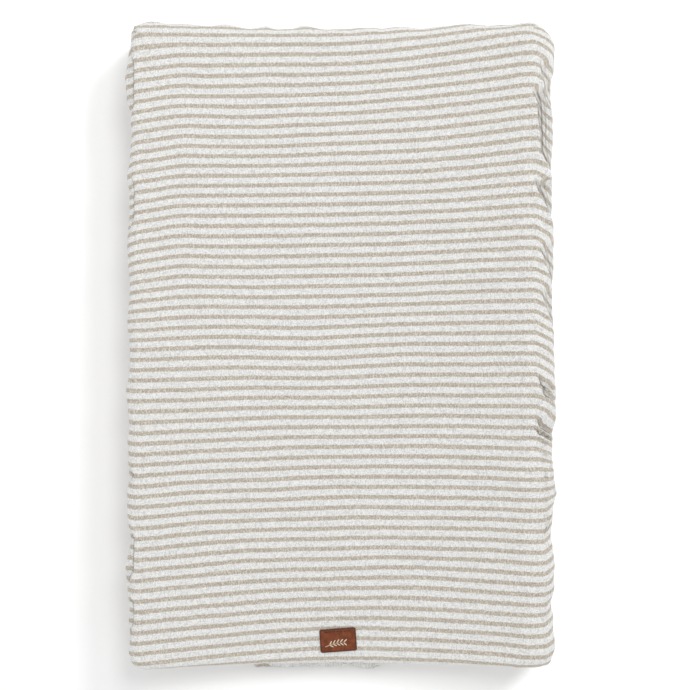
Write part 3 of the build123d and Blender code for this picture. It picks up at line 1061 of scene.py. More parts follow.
@dataclass
class Ruffle:
    """The gathers that the elastic draws into the cloth, as waves along the closed hem."""

    gathers: int = 168
    deep: float = 0.0016
    mid_folds: int = 58
    low_folds: int = 21

    def fine(self, turn: Array) -> Array:
        """The hem's own gathers: a sine whose steps and height wander."""
        phase = math.tau * self.gathers * turn + 1.5 * loop_ripple(turn, 40, 5)
        height = np.sin(phase + 0.45 * np.sin(phase)) * (0.8 + 0.2 * loop_ripple(turn, 30, 6))
        return np.tanh(1.2 * height)

    def middle(self, turn: Array) -> Array:
        """Folds up the lower wall, each where two or three gathers run together."""
        phase = math.tau * self.mid_folds * turn + 1.9 * loop_ripple(turn, 17, 7)
        return np.sin(phase + 0.5 * np.sin(phase)) * np.clip(0.6 + 0.5 * loop_ripple(turn, 14, 8), 0, 1.6)

    def broad(self, turn: Array) -> Array:
        """Long bulges and pinches of the upper wall."""
        return loop_ripple(turn, self.low_folds, 9)


@dataclass
class Cover:
    """The muslin cover: one cloth from the trough to its gathered hem underneath."""

    surface: PadSurface = field(default_factory=PadSurface)
    ruffle: Ruffle = field(default_factory=Ruffle)
    arc_rows: int = 20
    upper_rows: int = 6
    lower_rows: int = 7
    heel_rows: int = 5
    under_rows: int = 10
    tunnel_rows: int = 4
    hem_corner: float = 0.034
    tunnel_half_gap: float = 0.0007
    flap_span: Pair = (-0.112, 0.056)
    ears: dict[int, float] = field(
        default_factory=lambda: {-135: 0.0045, -64: -0.0050, -45: -0.0020, 135: 0.004}
    )
    tip: float = 0.0055
    foot_tuck: float = 0.0060
    foot_draw: float = 0.0030
    bulges: tuple[tuple[Side, float, float, float, float], ...] = (
        (Side.LEFT, 0.369, 0.012, 0.0052, 0.95),
        (Side.LEFT, 0.346, 0.006, -0.0040, 0.95),
        (Side.LEFT, 0.300, 0.030, 0.0036, 0.9),
        (Side.LEFT, 0.222, 0.026, -0.0040, 0.9),
        (Side.LEFT, 0.154, 0.024, 0.0040, 0.9),
        (Side.LEFT, 0.070, 0.030, 0.0016, 0.6),
        (Side.LEFT, -0.035, 0.030, 0.0030, 0.6),
        (Side.LEFT, -0.112, 0.016, 0.0042, 0.8),
        (Side.LEFT, -0.154, 0.007, -0.0030, 0.8),
        (Side.LEFT, -0.192, 0.018, 0.0044, 0.8),
        (Side.LEFT, -0.226, 0.007, -0.0034, 0.8),
        (Side.LEFT, -0.264, 0.018, 0.0056, 0.8),
        (Side.LEFT, -0.306, 0.008, -0.0016, 0.7),
        (Side.LEFT, -0.352, 0.020, 0.0026, 0.6),
        (Side.RIGHT, -0.045, 0.050, 0.0030, 0.6),
        (Side.RIGHT, -0.330, 0.020, 0.0022, 0.5),
        (Side.RIGHT, -0.225, 0.008, -0.0030, 0.6),
    )
    creases: tuple[Crease, ...] = (
        Crease(((0.296, 0.010), (0.278, 0.018), (0.222, 0.021), (0.178, 0.048)), 0.0100, 0.016, 0.0010, 2.3),
        Crease(((0.190, 0.016), (0.178, 0.0175), (0.130, 0.046)), 0.0080, 0.014, 0.0010, 1.6),
        Crease(((0.168, 0.024), (0.128, 0.050)), 0.0034, 0.004),
        Crease(((0.118, 0.018), (0.058, 0.046)), 0.0034, 0.013),
        Crease(((0.066, 0.020), (0.004, 0.050)), 0.0030, 0.012),
        Crease(((-0.036, 0.018), (-0.048, 0.021), (-0.060, 0.048)), 0.0052, 0.004, 0.001),
        Crease(((-0.048, 0.021), (-0.059, 0.023), (-0.070, 0.050)), 0.0044, 0.005, 0.001),
        Crease(((-0.086, 0.015), (-0.097, 0.020), (-0.108, 0.048)), 0.0064, 0.006, 0.002),
        Crease(((-0.096, 0.012), (-0.104, 0.019), (-0.117, 0.050)), 0.0046, 0.006, 0.001),
        Crease(((-0.196, 0.050), (-0.206, 0.036), (-0.220, 0.028)), 0.0050, 0.003),
        Crease(((0.330, 0.020), (0.306, 0.026), (0.262, 0.050)), 0.0022, 0.010),
    )
    left_creases: tuple[Crease, ...] = (
        Crease(((0.386, 0.014), (0.374, 0.0095), (0.354, 0.0110), (0.344, 0.021)), 0.0040, 0.0036),
        Crease(((0.338, 0.015), (0.322, 0.0100), (0.276, 0.0100), (0.248, 0.021)), 0.0042, 0.0040),
        Crease(((0.198, 0.014), (0.182, 0.0098), (0.146, 0.0100), (0.126, 0.019)), 0.0040, 0.0036),
        Crease(((-0.136, 0.021), (-0.150, 0.0105), (-0.162, 0.020)), 0.0036, 0.0030, 0.0, -1.0),
        Crease(((-0.206, 0.020), (-0.222, 0.0100), (-0.260, 0.0105), (-0.278, 0.020)), 0.0044, 0.0036, draw=-1.2),
        Crease(((-0.286, 0.020), (-0.298, 0.0105), (-0.322, 0.0110), (-0.338, 0.020)), 0.0036, 0.0030, draw=-1.0),
    )
    room: float = 0.0045
    clearance: float = 0.0022
    bow: float = 0.0095
    left_waves: float = 0.0013
    waves: float = 0.0010
    wall_folds: float = 0.0022
    hem_folds: float = 0.0010
    crumple: float = 0.0006
    puckers: float = 0.0008
    ear_width: float = 22.0
    left_fold_shade: float = 0.5
    lowest: float = 0.0004
    hem_depth: float = 0.018

    def hem_half(self) -> Pair:
        """Half the hem's outer width and length."""
        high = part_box("cover_hem")[1]
        return float(high[0]), float(high[1])

    def hem_side(self, side: Side, share: Array, inset: float) -> Array:
        """A place on one side of the hem's rounded rectangle.

        Args:
            side: which side.
            share: place along it, from 0 at one corner's middle to 1 at the next's.
            inset: how far inside the hem's outer line.

        Returns:
            x and y.
        """
        return loop_side(self.hem_half(), self.hem_corner, side, share, inset)

    def hem_line(self, inset: float, count: int) -> tuple[Array, Array, Array]:
        """Even steps round the hem.

        Args:
            inset: how far inside the hem's outer line.
            count: how many steps.

        Returns:
            The points on the hem's middle height, their directions, and the outward directions.
        """
        share = np.arange(300) / 300
        plan = np.concatenate([self.hem_side(side, share, inset) for side in Side])
        turn = np.concatenate([self.turn(side, share) for side in Side])
        plan, turn = np.vstack([plan, plan[:1]]), np.append(turn, 1.0)
        walked = np.append(0, np.cumsum(np.hypot(*np.diff(plan, axis=0).T)))
        even = np.arange(count) * walked[-1] / count
        x, y, turn = (np.interp(even, walked, values) for values in (*plan.T, turn))
        points = np.column_stack([x, y, self.surface.level + self.gather(turn)])
        ahead = np.roll(points, -1, axis=0) - np.roll(points, 1, axis=0)
        ahead /= np.linalg.norm(ahead, axis=1, keepdims=True)
        outward = np.cross(ahead, [0.0, 0.0, 1.0])
        return points, ahead, outward / np.linalg.norm(outward, axis=1, keepdims=True)

    def turn(self, side: Side, share: Array) -> Array:
        """Place along the whole hem, from 0 to 1."""
        half_x, half_y = self.hem_half()
        cut = self.hem_corner * (2 - math.pi / 2)
        lengths = [2 * half_x - cut, 2 * half_y - cut] * 2
        before = sum(lengths[: side.value])
        return (before + share * lengths[side.value]) / sum(lengths)

    def add_creases(self, side: Side, place: Array, down: Array, fold: Array) -> tuple[Array, ...]:
        """Adds a long side's drawn folds to the heights.

        Args:
            side: which side.
            place: place along the pad.
            down: distance down from the trough's border.
            fold: how far the cloth stands out, which this changes.

        Returns:
            How far the lips lean outwards, how far the flat cloth is drawn along the pad, the strength of the
            painted shade in a fold's drop at each place, and its distance outside the nearest fold's lip.
        """
        lean_out, drawn, deep = np.zeros(down.shape), np.zeros(down.shape), np.zeros(down.shape)
        lip, closest = np.full(down.shape, NO_LIP), np.zeros(down.shape)
        # the painted shade in the left side's folds is fainter
        dark = self.left_fold_shade if side is Side.LEFT else 1.0
        for crease in {Side.RIGHT: self.creases, Side.LEFT: self.left_creases}.get(side, ()):
            height, lean_by, drawn_by = crease.shape(place, down)
            fold += height
            deep = np.maximum(deep, dark * crease.shade(place, down))
            lean_out += lean_by
            drawn += drawn_by
            far, weight = crease.measure(place, down)
            close = weight * np.exp(-np.abs(far) / crease.reach)
            lip = np.where(close > closest, far, lip)
            closest = np.maximum(closest, close)
        return lean_out, drawn, deep, lip

    def folded(self, side: Side, made: dict[str, Array], turn: Array) -> tuple[Array, ...]:
        """Folds and bulges the smooth columns of the shoulder and the wall.

        Gathers, drawn folds, bulges and the corners' ears are summed and stand out along the
        normal. Inwards they are held within the room over the casing.

        Args:
            side: which side.
            made: the smooth columns.
            turn: the columns' places along the whole hem.

        Returns:
            The points, how far the flat cloth is drawn along the pad, the painted fold shade mask and the lip
            distance mask.
        """
        base, down, x0 = made["points"], made["down"], made["x"]
        low = 1 - np.clip((base[..., 2] - 0.004) / 0.085, 0, 1)
        shoulder = ease(down, 0.004, 0.03)
        place = np.broadcast_to(made["y"], down.shape)
        broad = self.left_waves if side is Side.LEFT else self.waves
        fold = broad * self.ruffle.broad(turn) * shoulder * (1 - ease(low, 0.8, 1.0))
        fold += self.wall_folds * self.ruffle.middle(turn) * ease(low, 0.30, 0.80)
        fold += self.hem_folds * self.ruffle.fine(turn) * ease(low, 0.72, 1.0)
        fold += self.crumple * ripple(base, 0.034, 11) * shoulder
        lean_out, drawn, deep, lip = self.add_creases(side, place, down, fold)
        if side is Side.RIGHT:
            # fine puckers on the right side, with painted shade in their hollows
            fine = np.tanh(ripple(base, 0.009, 12)) * shoulder * bump(place, -0.14, 0.055)
            fold += self.puckers * fine
            deep = np.maximum(deep, 0.45 * np.clip(-fine * 1.3, 0, 1) * ease(down, 0.02, 0.03))
        for where, centre, width, size, high in self.bulges:
            if where is side:
                fold += size * bump(place, centre, width) * shoulder * bump(1 - low, high, 0.45)
        around = (np.degrees(made["angle"]) + 180) % 360 - 180
        for corner, size in self.ears.items():
            fold += size * bump(around, corner, self.ear_width) * shoulder * (0.6 + 0.4 * low)
        fold += self.tip * bump(around, -24.0, 9.0) * ease(low, 0.0, 0.2)
        fold -= self.foot_tuck * ease(x0, 0.10, 0.20) * ease(-around, 30, 70) * shoulder
        fold = np.where(fold < 0, -self.room * np.tanh(-fold / self.room), fold)
        base = base + made["normal"] * fold[..., None]
        base += made["slide"] * lean_out[..., None]

        # the foot's flap, and the painted shadow lines along it and along the head's lower edge
        edge_shadow = np.zeros(down.shape)
        if side is Side.FOOT:
            reach, share_out = self.flap(x0)
            near = share_out * (1 - ease(base[..., 2], 0.0048, 0.0115))
            base[..., 1] += near * (-self.surface.walls[side] - reach - base[..., 1])
            base[..., 2] += 0.0010 * near * (1 + np.sin(x0 * 520))
            lines = np.maximum(bump(base[..., 2], 0.0125, 0.0020), bump(base[..., 2], 0.0030, 0.0018))
            edge_shadow = 0.7 * share_out * lines
        if side is Side.HEAD:
            edge_shadow = 0.55 * bump(base[..., 2], 0.0040, 0.0034) * (1 - ease(x0, 0.0, 0.12))
        deep, lip = np.maximum(deep, edge_shadow), np.where(edge_shadow > 0.1, 0.001, lip)
        base[self.arc_rows :] = Filling().cleared(base[self.arc_rows :], self.clearance)
        base[..., 2] = np.maximum(base[..., 2], 0.0006)
        return base, drawn, deep, lip

    def turned_under(self, side: Side, heel: Array, share: Array, turn: Array) -> Array:
        """The rows underneath: in to the hem, round the elastic's tunnel and back on top of it.

        Args:
            side: which side.
            heel: the last row above.
            share: the columns' places along the side, from 0 to 1.
            turn: their places along the whole hem.

        Returns:
            The rows' points.
        """
        outer, inner = self.hem_side(side, share, 0.0), self.hem_side(side, share, self.hem_depth)
        gather, level, gap = self.gather(turn), self.surface.level, self.tunnel_half_gap
        step = np.linspace(0, 1, self.under_rows + 1)[1:, None]
        plan = heel[..., :2] + (outer - heel[..., :2]) * step[..., None]
        under_z = level + gather * ease(step, -0.2, 0.6) + (heel[..., 2] - level) * (1 - step)
        under_z += 0.0004 * ripple(np.dstack([plan, np.zeros(plan.shape[:2])]), 0.02, 14)
        step = np.linspace(0, 1, self.tunnel_rows + 1)[1:, None]
        low_plan = outer + (inner - outer) * step[..., None]
        low_layer = np.dstack([low_plan, level + gather - gap * ease(step, 0.0, 0.25)])
        curl = (np.array([45.0, 90.0, 135.0]) * math.pi / 180)[:, None]
        way = (inner - outer) / self.hem_depth
        edge = np.dstack([inner + way * gap * np.sin(curl)[..., None], level + gather - gap * np.cos(curl)])
        back = np.linspace(1, 0, self.tunnel_rows + 1)[:, None, None]
        high_plan = outer + (inner - outer) * (0.12 + 0.88 * back)
        high_layer = np.dstack([high_plan, np.broadcast_to(level + gather + gap, high_plan.shape[:2])])
        return np.concatenate([np.dstack([plan, under_z]), low_layer, edge, high_layer])

    def columns(self, side: Side, t: Array) -> dict[str, Array]:
        """Works out one side's columns from the trough's border to the hem's last row.

        Args:
            side: which side.
            t: the columns' places along the side.

        Returns:
            points, with rows down the columns; uv, the flat cloth's coordinates; fold, the strength of the painted
            shade in a fold's drop at each point; and lip, its distance outside the nearest fold's lip.
        """
        surface = self.surface
        made = surface.drape(side, t, self.arc_rows, self.upper_rows + self.lower_rows, self.heel_rows)
        x0, y0, angle = made["x"], made["y"], made["angle"]
        count = surface.count(side)
        fan_length = (surface.core_corner + surface.shoulders[side]) * math.pi / 4
        ends = surface.core_side(side, np.array([0.0, float(count)]))
        straight = float(np.hypot(ends[0][1] - ends[0][0], ends[1][1] - ends[1][0]))
        stations = [0, surface.fan, count - surface.fan, count]
        far = np.interp(t, stations, [0, fan_length, fan_length + straight, 2 * fan_length + straight])
        share = far / (2 * fan_length + straight)
        turn = self.turn(side, share)
        base, drawn, deep, lip = self.folded(side, made, turn)
        tail = self.turned_under(side, base[-1], share, turn)
        points = np.concatenate([base, tail])
        points[..., 2] = np.maximum(points[..., 2], self.lowest)

        # the flat cloth's coordinates: out from the border, turning to the flap's own direction
        runs = np.linalg.norm(np.diff(np.concatenate([base[-1:], tail]), axis=0), axis=-1)
        down = np.concatenate([made["down"], made["down"][-1] + np.cumsum(runs, axis=0)])
        square = (side.value - 1) * math.pi / 2
        way = square + (angle - square) * (1 - ease(down, 0.020, 0.050))
        steps = np.diff(down, axis=0, prepend=0.0)[..., None] * np.stack([np.cos(way), np.sin(way)], axis=-1)
        uv = self.flat(x0, y0) + np.cumsum(steps, axis=0)
        if side is Side.FOOT:
            uv[..., 1] -= self.foot_draw * ease(down, 0.025, 0.055)
        if side in (Side.RIGHT, Side.LEFT):
            uv[..., 1] += self.skew(side, y0, down)
            uv[: len(drawn), :, 1] += drawn
        # fold holds painted shade for the folds' drops and the flap and head edges; lip holds the distance outside a
        # fold's lip
        masks = {"fold": np.zeros(points.shape[:2]), "lip": np.full(points.shape[:2], NO_LIP)}
        masks["fold"][: len(deep)] = 0.95 * deep
        masks["lip"][: len(deep)] = lip
        return {"points": points, "uv": uv, **masks}

    def flap(self, x: Array) -> tuple[Array, Array]:
        """How far the hem peeps out under the foot: a flat flap, small scallops and a curled flap.

        Args:
            x: across the pad.

        Returns:
            The reach beyond the wall, and how far each place belongs to the flap, from 0 to 1.
        """
        begin, end = self.flap_span
        flat = 0.0094 + 0.0006 * np.sin(x * 90)
        scallops = 0.0066 + 0.0024 * np.abs(np.sin(math.pi * (x + 0.004 * np.sin(x * 140)) / 0.0118))
        curl = 0.0066 + 0.0046 * bump(x, 0.032, 0.015)
        reach = flat + (scallops - flat) * ease(x, -0.068, -0.060)
        reach = reach + (curl - reach) * ease(x, 0.006, 0.014)
        return reach, ease(x, begin, begin + 0.006) * (1 - ease(x, end - 0.010, end))

    def gather(self, turn: Array) -> Array:
        """How far the gathers lift the cloth at a place along the hem."""
        return self.ruffle.deep * self.ruffle.fine(turn)

    def skew(self, side: Side, along: Array, down: Array) -> Array:
        """How far the cloth is drawn along the pad as it goes down a long side.

        Args:
            side: which long side.
            along: place along the pad.
            down: distance down from the trough's edge.

        Returns:
            The shift of the cloth's lengthwise coordinate.
        """
        if side is Side.LEFT:
            low = 0.14 * np.maximum(down - 0.010, 0) * np.minimum(np.sin(along * 9.0), 0)
            return low + 0.28 * np.minimum(down, 0.05) * self.bowed(along)
        head = ease(along, -0.20, -0.10)
        pull = 0.45 * head - 0.36 * (1 - head) * (1 - 0.5 * ease(along, -0.30, -0.36))
        begin = 0.016 + 0.013 * (1 - head)
        fade = ease(np.abs(along), 0.385, 0.345)
        return pull * fade * np.maximum(np.minimum(down, 0.07) - begin, 0)

    def flat(self, x: Array, y: Array) -> Array:
        """Where a point of the trough lies in the flat cloth: the arc across, and a slight skew.

        Args:
            x: across the pad.
            y: along the pad.

        Returns:
            The flat cloth's u and v.
        """
        bend = self.surface.bend(x)
        lay = np.radians(1.0 + 2.0 * ease(y, 0.10, 0.30))
        wave = 0.00055 * ripple(np.stack([x, y * 1.6, 0 * x], axis=-1), 0.16, 15)
        bow = self.bow * self.bowed(y) * ease(-x, 0.178, 0.242)
        return np.stack([bend * np.arcsin(x / bend), y - x * np.tan(lay) + wave + bow], axis=-1)

    def bowed(self, y: Array) -> Array:
        """Where along the pad the stripes bow towards the foot at the left ridge, from 0 to 1."""
        return ease(y, -0.02, 0.11) * (1 - ease(y, 0.325, 0.372))

    def build(self) -> bpy.types.Object:
        """Makes the cover's mesh.

        Returns:
            The cover.
        """
        surface = self.surface
        trough = surface.trough()
        flat = self.flat(trough[..., 0], trough[..., 1])
        trough[..., 2] += 0.00045 * ripple(trough, 0.055, 21) + 0.00022 * ripple(trough, 0.014, 22)
        rows, columns = trough.shape[:2]
        number = np.arange(rows * columns).reshape(rows, columns)
        border = {
            Side.FOOT: number[0], Side.RIGHT: number[:, -1],
            Side.HEAD: number[-1, ::-1], Side.LEFT: number[::-1, 0],
        }
        coarse_rows = self.arc_rows + self.upper_rows
        sides = {side: self.columns(side, np.arange(0, surface.count(side) + 0.25, 0.5)) for side in Side}
        total = 2 * (surface.across + surface.along)
        points, first = [trough.reshape(-1, 3)], rows * columns
        coarse = np.concatenate([sides[side]["points"][:coarse_rows, :-1:2] for side in Side], axis=1)
        fine = np.concatenate([sides[side]["points"][coarse_rows:, :-1] for side in Side], axis=1)
        points += [coarse.reshape(-1, 3), fine.reshape(-1, 3)]
        fine_first = first + coarse_rows * total
        fine_rows = fine.shape[0]

        quads, quad_uv = [grid_faces(rows, columns)], [flat.reshape(-1, 2)[grid_faces(rows, columns)]]
        fives, five_uv = [], []
        start = 0
        for side in Side:
            count = surface.count(side)
            here = (start + np.arange(count + 1)) % total
            block = np.vstack([border[side], first + np.arange(coarse_rows)[:, None] * total + here])
            top_uv = flat.reshape(-1, 2)[border[side]]
            uv = np.concatenate([top_uv[None], sides[side]["uv"][:coarse_rows, ::2]])
            local = grid_faces(coarse_rows + 1, count + 1)[:, ::-1]
            quads.append(block.reshape(-1)[local])
            quad_uv.append(uv.reshape(-1, 2)[local])
            here = (2 * start + np.arange(2 * count + 1)) % (2 * total)
            low = fine_first + np.arange(fine_rows)[:, None] * 2 * total + here
            low_uv = sides[side]["uv"][coarse_rows:]
            local = grid_faces(fine_rows, 2 * count + 1)[:, ::-1]
            quads.append(low.reshape(-1)[local])
            quad_uv.append(low_uv.reshape(-1, 2)[local])
            k = np.arange(count)
            above, below = np.column_stack([k + 1, k]), 2 * k[:, None] + np.arange(3)
            fives.append(np.hstack([block[-1][above], low[0][below]]))
            five_uv.append(np.hstack([uv[-1][above], low_uv[0][below]]))
            start += count
        quads, fives = np.concatenate(quads), np.concatenate(fives)
        corner_uv = np.concatenate([np.concatenate(part).reshape(-1, 2) for part in (quad_uv, five_uv)])
        cover = make_piece("cover", np.vstack(points), [quads, fives], corner_uv)
        # the fold mask holds painted shade; the lip mask holds the distance outside a fold's lip
        for name, plain in (("fold", 0.0), ("lip", NO_LIP)):
            upper = np.concatenate([sides[side][name][:coarse_rows, :-1:2] for side in Side], axis=1)
            lower = np.concatenate([sides[side][name][coarse_rows:, :-1] for side in Side], axis=1)
            values = [np.full(rows * columns, plain), upper.reshape(-1), lower.reshape(-1)]
            add_mask(cover, name, np.concatenate(values))
        settle(cover, "gauze", "striped_muslin", "pad", "cover_shell", "cover_hem")
        return cover


@dataclass
class LeatherLabel:
    """The small leather patch near the foot: a pressed slab, its stitches and a printed sprig."""

    half: Pair = (0.02175, 0.0139)
    centre: Pair = (-0.004, -0.353)
    turned: float = 4.0
    corner: float = 0.0024
    rest: float = 0.0006
    profile: tuple[Pair, ...] = (
        (0.0125, 0.00146), (0.0100, 0.00148), (0.0075, 0.00150), (0.0056, 0.00152), (0.0044, 0.00158),
        (0.0034, 0.00164), (0.0026, 0.00168), (0.0019, 0.00164), (0.0012, 0.00150), (0.0006, 0.00122),
        (0.0001, 0.00080), (0.0, 0.00040), (0.0004, -0.00020), (0.0016, -0.00050), (0.0120, -0.00060),
    )
    stitches: int = 7
    stitch_pitch: float = 0.0044
    stitch_size: Triple = (0.0040, 0.0011, 0.0010)
    stitch_drop: float = 0.0034
    stitch_level: float = 0.00176
    stitch_sink: float = 0.00018
    corner_points: int = 7
    leaf_size: Triple = (0.0056, 0.0015, 0.0004)
    leaf_pairs: int = 5
    stem_radius: float = 0.00034

    def laid(self, points: Array, surface: PadSurface) -> Array:
        """Turns points by the patch's angle, moves them to its centre and bends them to the trough."""
        turn = math.radians(self.turned)
        x = self.centre[0] + points[:, 0] * math.cos(turn) - points[:, 1] * math.sin(turn)
        y = self.centre[1] + points[:, 0] * math.sin(turn) + points[:, 1] * math.cos(turn)
        return np.column_stack([x, y, points[:, 2] + surface.height(x) + self.rest])

    def sprig(self) -> Shape:
        """A stem along a shallow arc, and pairs of leaves that lean off it.

        Returns:
            The points and the faces.
        """
        step = np.linspace(0, 1, 24)
        stem_z = np.full(len(step), 0.00160)
        stem = np.column_stack([-0.0160 + 0.0240 * step, -0.0068 + 0.0040 * np.sin(1.9 * step), stem_z])
        ahead = np.gradient(stem, axis=0)
        ahead /= np.linalg.norm(ahead, axis=1, keepdims=True)
        above = np.tile([0.0, 0.0, 1.0], (len(stem), 1))
        thin = np.clip(1.15 - step, 0.35, 1.0)[:, None, None]
        profile = ring(self.stem_radius, self.stem_radius, 6)[None] * thin
        points, faces = carried(stem, np.cross(above, ahead), above, profile)
        at = np.repeat(np.linspace(0.22, 0.92, self.leaf_pairs), 2)
        sign = np.tile([1.0, -1.0], self.leaf_pairs)
        place = np.column_stack([np.interp(at, step, stem[:, axis]) for axis in range(3)])
        stem_x, stem_y = (np.interp(at, step, ahead[:, axis]) for axis in range(2))
        lean = np.arctan2(stem_y, stem_x) + sign * math.radians(42)
        way = np.column_stack([np.cos(lean), np.sin(lean), 0 * lean])
        leaf, leaf_faces = grain_shape(*self.leaf_size, rings=7, around=8)
        above = np.tile([0.0, 0.0, 1.0], (len(at), 1))
        moves = placed_along(place + way * self.leaf_size[0] * 0.56, way, above)
        leaves, leaves_faces = repeated(leaf, leaf_faces, moves)
        merged = [part + len(points) for part in leaves_faces]
        return np.vstack([points, leaves]), [*faces, *merged]

    def build(self, surface: PadSurface) -> None:
        """Makes the patch, the sprig and the stitches.

        Args:
            surface: the cloth's surface that they lie on.
        """
        points, faces = rounded_slab(self.half, self.corner, list(self.profile), self.corner_points)
        insets = np.repeat([inset for inset, _ in self.profile], 4 * self.corner_points)
        edge = np.append(1 - ease(insets, 0.0003, 0.0026), [0.0, 1.0])
        row_y = self.half[1] - self.stitch_drop
        pressed = (np.abs(points[:, 0]) < 0.016) * (points[:, 2] > 0.001)
        points[:, 2] -= self.stitch_sink * bump(points[:, 1], row_y, 0.0008) * pressed
        patch = make_piece("leather_label", self.laid(points, surface), faces)
        add_mask(patch, "edge", edge)
        settle(patch, "leather", "label_leather", "pad", "label_patch")

        sprig_points, sprig_faces = self.sprig()
        sprig = make_piece("label_sprig", self.laid(sprig_points, surface), sprig_faces)
        settle(sprig, "emblem", "label_leather", "pad")

        x = (np.arange(self.stitches) - (self.stitches - 1) / 2) * self.stitch_pitch
        place = np.column_stack([x, np.full(len(x), row_y), np.full(len(x), self.stitch_level)])
        ahead, above = np.tile([1.0, 0.03, 0.0], (len(x), 1)), np.tile([0.0, 0.0, 1.0], (len(x), 1))
        stitch = grain_shape(*self.stitch_size, rings=7, around=8)
        thread, thread_faces = repeated(*stitch, placed_along(place, ahead, above))
        stitches = make_piece("label_thread", self.laid(thread, surface), thread_faces)
        settle(stitches, "dark thread", "label_thread", "pad", "label_stitches")


@dataclass
class HemTrim:
    """What holds the hem and the corners: the elastic, its row of stitches, and four corner seams."""

    elastic_inset: Pair = (0.0065, 0.0150)
    elastic_thick: float = 0.0007
    elastic_steps: int = 900
    stitch_inset: float = 0.0168
    stitch_pitch: float = 0.0038
    stitch_size: Triple = (0.0029, 0.0006, 0.0006)
    seam_radius: float = 0.0011
    seam_steps: int = 90
    seam_depth: float = 0.0026

    def build(self, cover: Cover) -> None:
        """Makes the elastic, the stitches and the seams.

        Args:
            cover: the cover that they hold.
        """
        inner, outer = self.elastic_inset[1], self.elastic_inset[0]
        middle, half = (inner + outer) / 2, (inner - outer) / 2
        path, ahead, outward = cover.hem_line(middle, self.elastic_steps)
        up = np.cross(outward, ahead)
        thick = self.elastic_thick / 2
        profile = np.array([[-half, 0], [-half * 0.9, thick], [0, thick], [half * 0.9, thick], [half, 0],
                            [half * 0.9, -thick], [0, -thick], [-half * 0.9, -thick]])[::-1]
        elastic = make_piece("hem_elastic_band", *carried(path, outward, up, profile, closed=True))
        settle(elastic, "elastic", "elastic", "pad", "hem_elastic")

        loop = cover.hem_line(self.stitch_inset, 2000)[0]
        length = float(np.linalg.norm(loop - np.roll(loop, 1, axis=0), axis=1).sum())
        place, ahead, _ = cover.hem_line(self.stitch_inset, int(length / self.stitch_pitch))
        place[:, 2] = np.maximum(place[:, 2] - cover.tunnel_half_gap - 0.0001, 0.00035)
        above = np.tile([0.0, 0.0, 1.0], (len(place), 1))
        stitch = grain_shape(*self.stitch_size, rings=4, around=6)
        stitches, faces = repeated(*stitch, placed_along(place, ahead, above))
        settle(make_piece("hem_thread", stitches, faces), "white thread", "thread", "pad", "hem_stitching")

        for side, name in zip(Side, ("foot_left", "foot_right", "head_right", "head_left")):
            column = cover.columns(side, np.array([0.0]))["points"][:, 0]
            wall = column[(column[:, 2] > 0.008) & (column[:, 2] < 0.072)][:40]
            inward = -np.array([np.sign(wall[0, 0]), np.sign(wall[0, 1]), 0.0]) / math.sqrt(2)
            z = np.linspace(wall[:, 2].max(), wall[:, 2].min(), self.seam_steps)
            order = np.argsort(wall[:, 2])
            path = np.column_stack([np.interp(z, wall[order, 2], wall[order, axis]) for axis in range(3)])
            path += inward * self.seam_depth
            twist = np.arange(self.seam_steps) * 0.55
            turn = np.arange(10) * math.tau / 10
            radius = self.seam_radius * (1 + 0.22 * np.cos(2 * (turn[None] - twist[:, None])))
            profile = np.stack([radius * np.cos(turn), radius * np.sin(turn)], axis=-1)
            beside = np.cross(inward, [0.0, 0.0, 1.0])
            across, up = (np.tile(way, (len(path), 1)) for way in (inward, beside))
            seam = make_piece(f"seam_{name}", *carried(path, across, up, profile))
            settle(seam, "white thread", "thread", "pad", f"corner_seam_{name}")


@dataclass
class Casing:
    """The wipeable casing under the cover: one skin over the pad that turns in to the zip's slit."""

    depth: float = 0.0056
    level: float = 0.0060
    arc_rows: int = 8
    wall_rows: int = 8
    heel_rows: int = 3
    under_rows: int = 44
    slit: Pair = (0.0080, 0.2925)
    slit_corner: float = 0.0030
    wrinkle: float = 0.00035
    ripples: float = 0.0006
    slack: float = 0.0003
    left_room: float = 0.0008
    clearance: float = 0.0009

    def build(self, outer: PadSurface) -> bpy.types.Object:
        """Makes the casing inside the cover's surface.

        Args:
            outer: the cover's surface.

        Returns:
            The casing.
        """
        surface = outer.inside(self.depth, self.level)
        surface.across, surface.along = 96, 144
        surface.walls[Side.LEFT] += self.left_room
        trough = surface.trough()
        rows, columns = trough.shape[:2]
        number = np.arange(rows * columns).reshape(rows, columns)
        border = np.concatenate([number[0, :-1], number[:-1, -1], number[-1, :0:-1], number[:0:-1, 0]])
        sides = []
        for side in Side:
            count = surface.count(side)
            t = np.arange(count, dtype=float)
            made = surface.drape(side, t, self.arc_rows, self.wall_rows, self.heel_rows)
            base = made["points"]
            swell = self.ripples * ripple(base, 0.03, 31) * ease(made["down"], 0.01, 0.04)
            base += made["normal"] * swell[..., None] - self.slack * made["normal"]
            base[self.arc_rows :] = Filling().cleared(base[self.arc_rows :], self.clearance)
            target = loop_side(self.slit, self.slit_corner, side, np.arange(count) / count, 0.0)
            step = np.linspace(0, 1, self.under_rows + 1)[1:, None, None]
            plan = base[-1][:, :2] + (target - base[-1][:, :2]) * step
            flat = np.dstack([plan, np.zeros(plan.shape[:2])])
            pucker = ripple(flat * [1.0, 0.55, 1.0], 0.030, 32) + 0.6 * ripple(flat, 0.012, 33)
            sides.append(np.concatenate([base, np.dstack([plan, self.level + self.wrinkle * np.tanh(pucker)])]))
        skirt = np.concatenate(sides, axis=1)
        total = skirt.shape[1]
        rings = np.vstack([border, rows * columns + np.arange(len(skirt) * total).reshape(len(skirt), total)])
        local = grid_faces(len(rings), total, closed=True)[:, ::-1]
        points = np.vstack([trough.reshape(-1, 3), skirt.reshape(-1, 3)])
        casing = make_piece("casing", points, [grid_faces(rows, columns), rings.reshape(-1)[local]])
        nodes = ("casing_top_panel", "casing_gusset", "casing_bottom_left", "casing_bottom_right")
        settle(casing, "coated", "coated_cloth", "pad", *nodes)
        return casing


